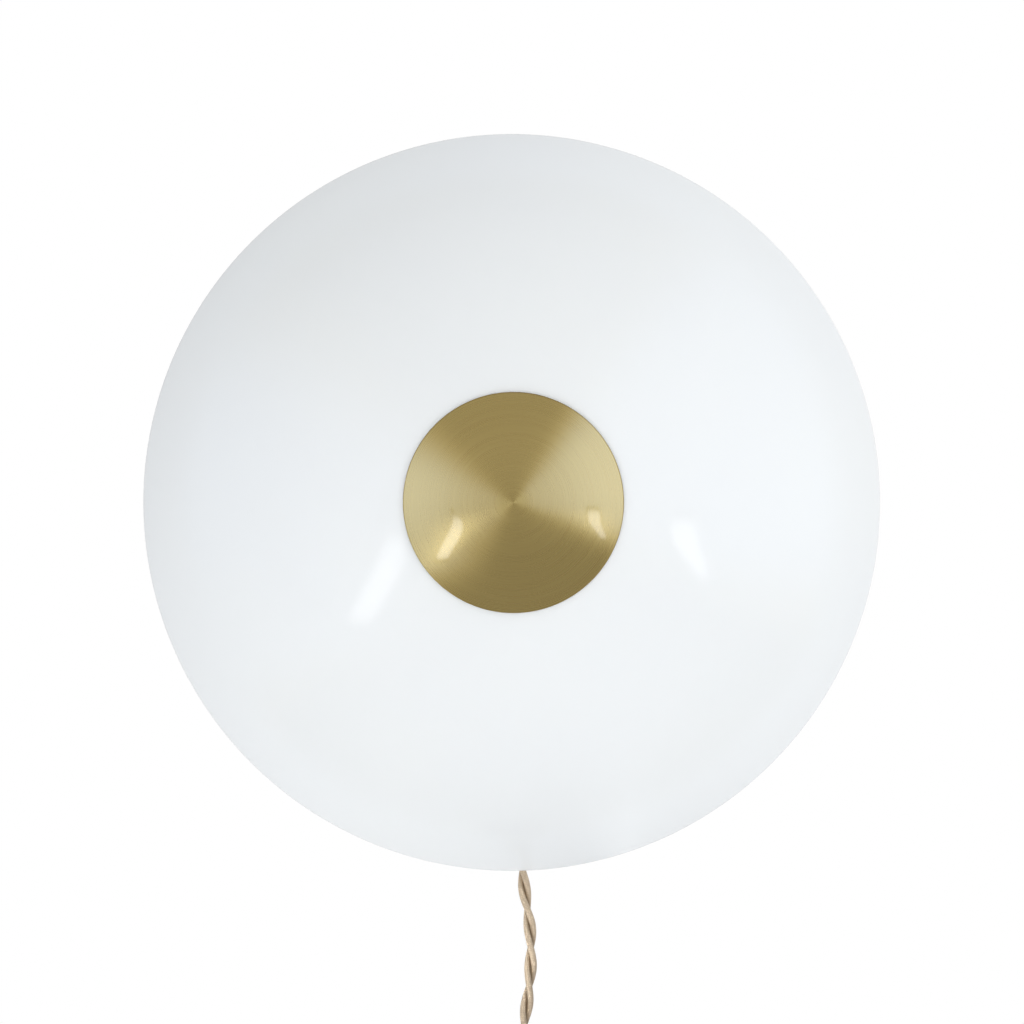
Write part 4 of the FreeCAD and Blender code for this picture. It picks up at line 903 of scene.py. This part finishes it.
def coil_strap():
    """A woven strap round the turns at the coil's top, its end laid over itself in front."""
    low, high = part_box("cord_tie")
    middle = (low + high) / 2
    half_depth = (high.y - low.y) / 2 - STRAP_THICKNESS / 2
    half_height = (high.z - low.z) / 2 - STRAP_THICKNESS / 2
    half_width = (high.x - low.x) / 2
    sides = len(STRAP_SECTION)
    vertices, faces, unwrapped = [], [], []

    def band(rows, lift, width, closed):
        start, count = len(vertices), len(rows)
        runs = [0.0]
        for ((depth, height), _), ((depth_before, height_before), _) in zip(rows[1:], rows):
            runs.append(runs[-1] + math.hypot(depth - depth_before, height - height_before))
        for at, ((depth, height), way) in enumerate(rows):
            share = width
            if not closed:
                share *= min(1.0, (count - 1 - at) / LAP_END_ROWS + LAP_END_WIDTH)
            for across, rise in STRAP_SECTION:
                out = lift + rise * STRAP_THICKNESS / 2
                vertices.append(Vector((middle.x + across * half_width * share,
                                        middle.y - depth - way[0] * out,
                                        middle.z + height + way[1] * out)))
        for at in range(count if closed else count - 1):
            after = (at + 1) % count
            near, far = runs[at], runs[after] if after else runs[-1] + STRAP_SEAM
            for side in range(sides):
                there = (side + 1) % sides
                faces.append((start + at * sides + side, start + at * sides + there,
                              start + after * sides + there, start + after * sides + side))
                left, right = side / sides, (side + 1) / sides
                unwrapped.append(((left, near), (right, near), (right, far), (left, far)))
        if not closed:
            for at, turn in ((0, -1), (count - 1, 1)):
                loop = [start + at * sides + side for side in range(sides)]
                faces.append(tuple(loop[::turn]))
                unwrapped.append([(side / sides, runs[at]) for side in range(sides)])

    band(rounded_loop(half_depth, half_height), 0, 1.0, True)
    top, bottom = LAP_HEIGHTS
    lap = [((half_depth, half_height * (top + (bottom - top) * step / LAP_STEPS)), (1.0, 0.0))
           for step in range(LAP_STEPS + 1)]
    band(lap, STRAP_THICKNESS * LAP_LIFT, LAP_WIDTH, False)
    mesh = mesh_with_map("coil_strap", vertices, faces, unwrapped)
    strap = add_piece("coil_strap", mesh, "root", FINISHES["tie_strap"], smooth_angle=50)
    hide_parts("cord_tie")
    return strap


# Glass and brass

def glass_dish():
    """The opal dish: its front from the centre hole to the rim, and its back inward again."""
    centre_depth = GLASS_FRONT - math.sqrt(CROWN_RADIUS ** 2 - SEAT_RADIUS ** 2)
    crown = (0, centre_depth)
    join = math.degrees(math.asin(CROWN_REACH / CROWN_RADIUS))
    seat = math.degrees(math.asin(SEAT_RADIUS / CROWN_RADIUS))
    bowl = (math.sin(math.radians(join)) * (CROWN_RADIUS - BOWL_RADIUS),
            centre_depth + math.cos(math.radians(join)) * (CROWN_RADIUS - BOWL_RADIUS))
    rim = math.degrees(math.atan2(RIM_MIDDLE[0] - bowl[0], RIM_MIDDLE[1] - bowl[1]))
    inner_crown = CROWN_RADIUS - GLASS_WALL
    back = GLASS_FRONT - GLASS_WALL
    inner_seat = math.degrees(math.acos((back - centre_depth) / inner_crown))
    seat_middle = (HOLE_RADIUS + SEAT_RADIUS) / 2

    profile = [(HOLE_RADIUS, GLASS_FRONT - HOLE_EDGE), (HOLE_RADIUS + HOLE_EDGE, GLASS_FRONT),
               (seat_middle, GLASS_FRONT)]
    profile += arc(crown, CROWN_RADIUS, seat, join, CROWN_STEPS)
    profile += arc(bowl, BOWL_RADIUS, join, rim, BOWL_STEPS)[1:]
    profile += arc(RIM_MIDDLE, GLASS_WALL / 2, rim, rim + 180, RIM_STEPS)[1:-1]
    profile += arc(bowl, BOWL_RADIUS - GLASS_WALL, rim, join, INNER_BOWL_STEPS)
    profile += arc(crown, inner_crown, join, inner_seat, INNER_CROWN_STEPS)[1:]
    profile += [(seat_middle, back), (HOLE_RADIUS + HOLE_EDGE, back),
                (HOLE_RADIUS, back + HOLE_EDGE)]
    dish = add_piece("opal_dish", lathe("opal_dish", profile), "shade", FINISHES["opal_glass"])
    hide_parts("glass_shade")


def brass_cap():
    """The brass dome: its front from the centre to the edge, and its hollow back inward again."""
    rise = math.sqrt(CAP_SPHERE ** 2 - CAP_RADIUS ** 2)
    centre = (0, CAP_RIM_DEPTH - rise)
    outer = math.degrees(math.asin((CAP_RADIUS - CAP_EDGE_INSET) / CAP_SPHERE))
    inner_sphere = CAP_SPHERE - CAP_WALL
    inner = math.degrees(math.acos(rise / inner_sphere))
    profile = arc(centre, CAP_SPHERE, 0, outer, CAP_STEPS)
    profile += [(CAP_RADIUS - inward, CAP_RIM_DEPTH + forward) for inward, forward in CAP_EDGE]
    profile += arc(centre, inner_sphere, inner, 0, INNER_CAP_STEPS)
    dome = add_piece("spun_cap", lathe("spun_cap", profile), "cap", FINISHES["brushed_brass"])
    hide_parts("cap_dome")


camera()
studio()
FINISHES = finishes()
dress_nodes()
inner_strands()
free_cord()
glass_dish()
brass_cap()
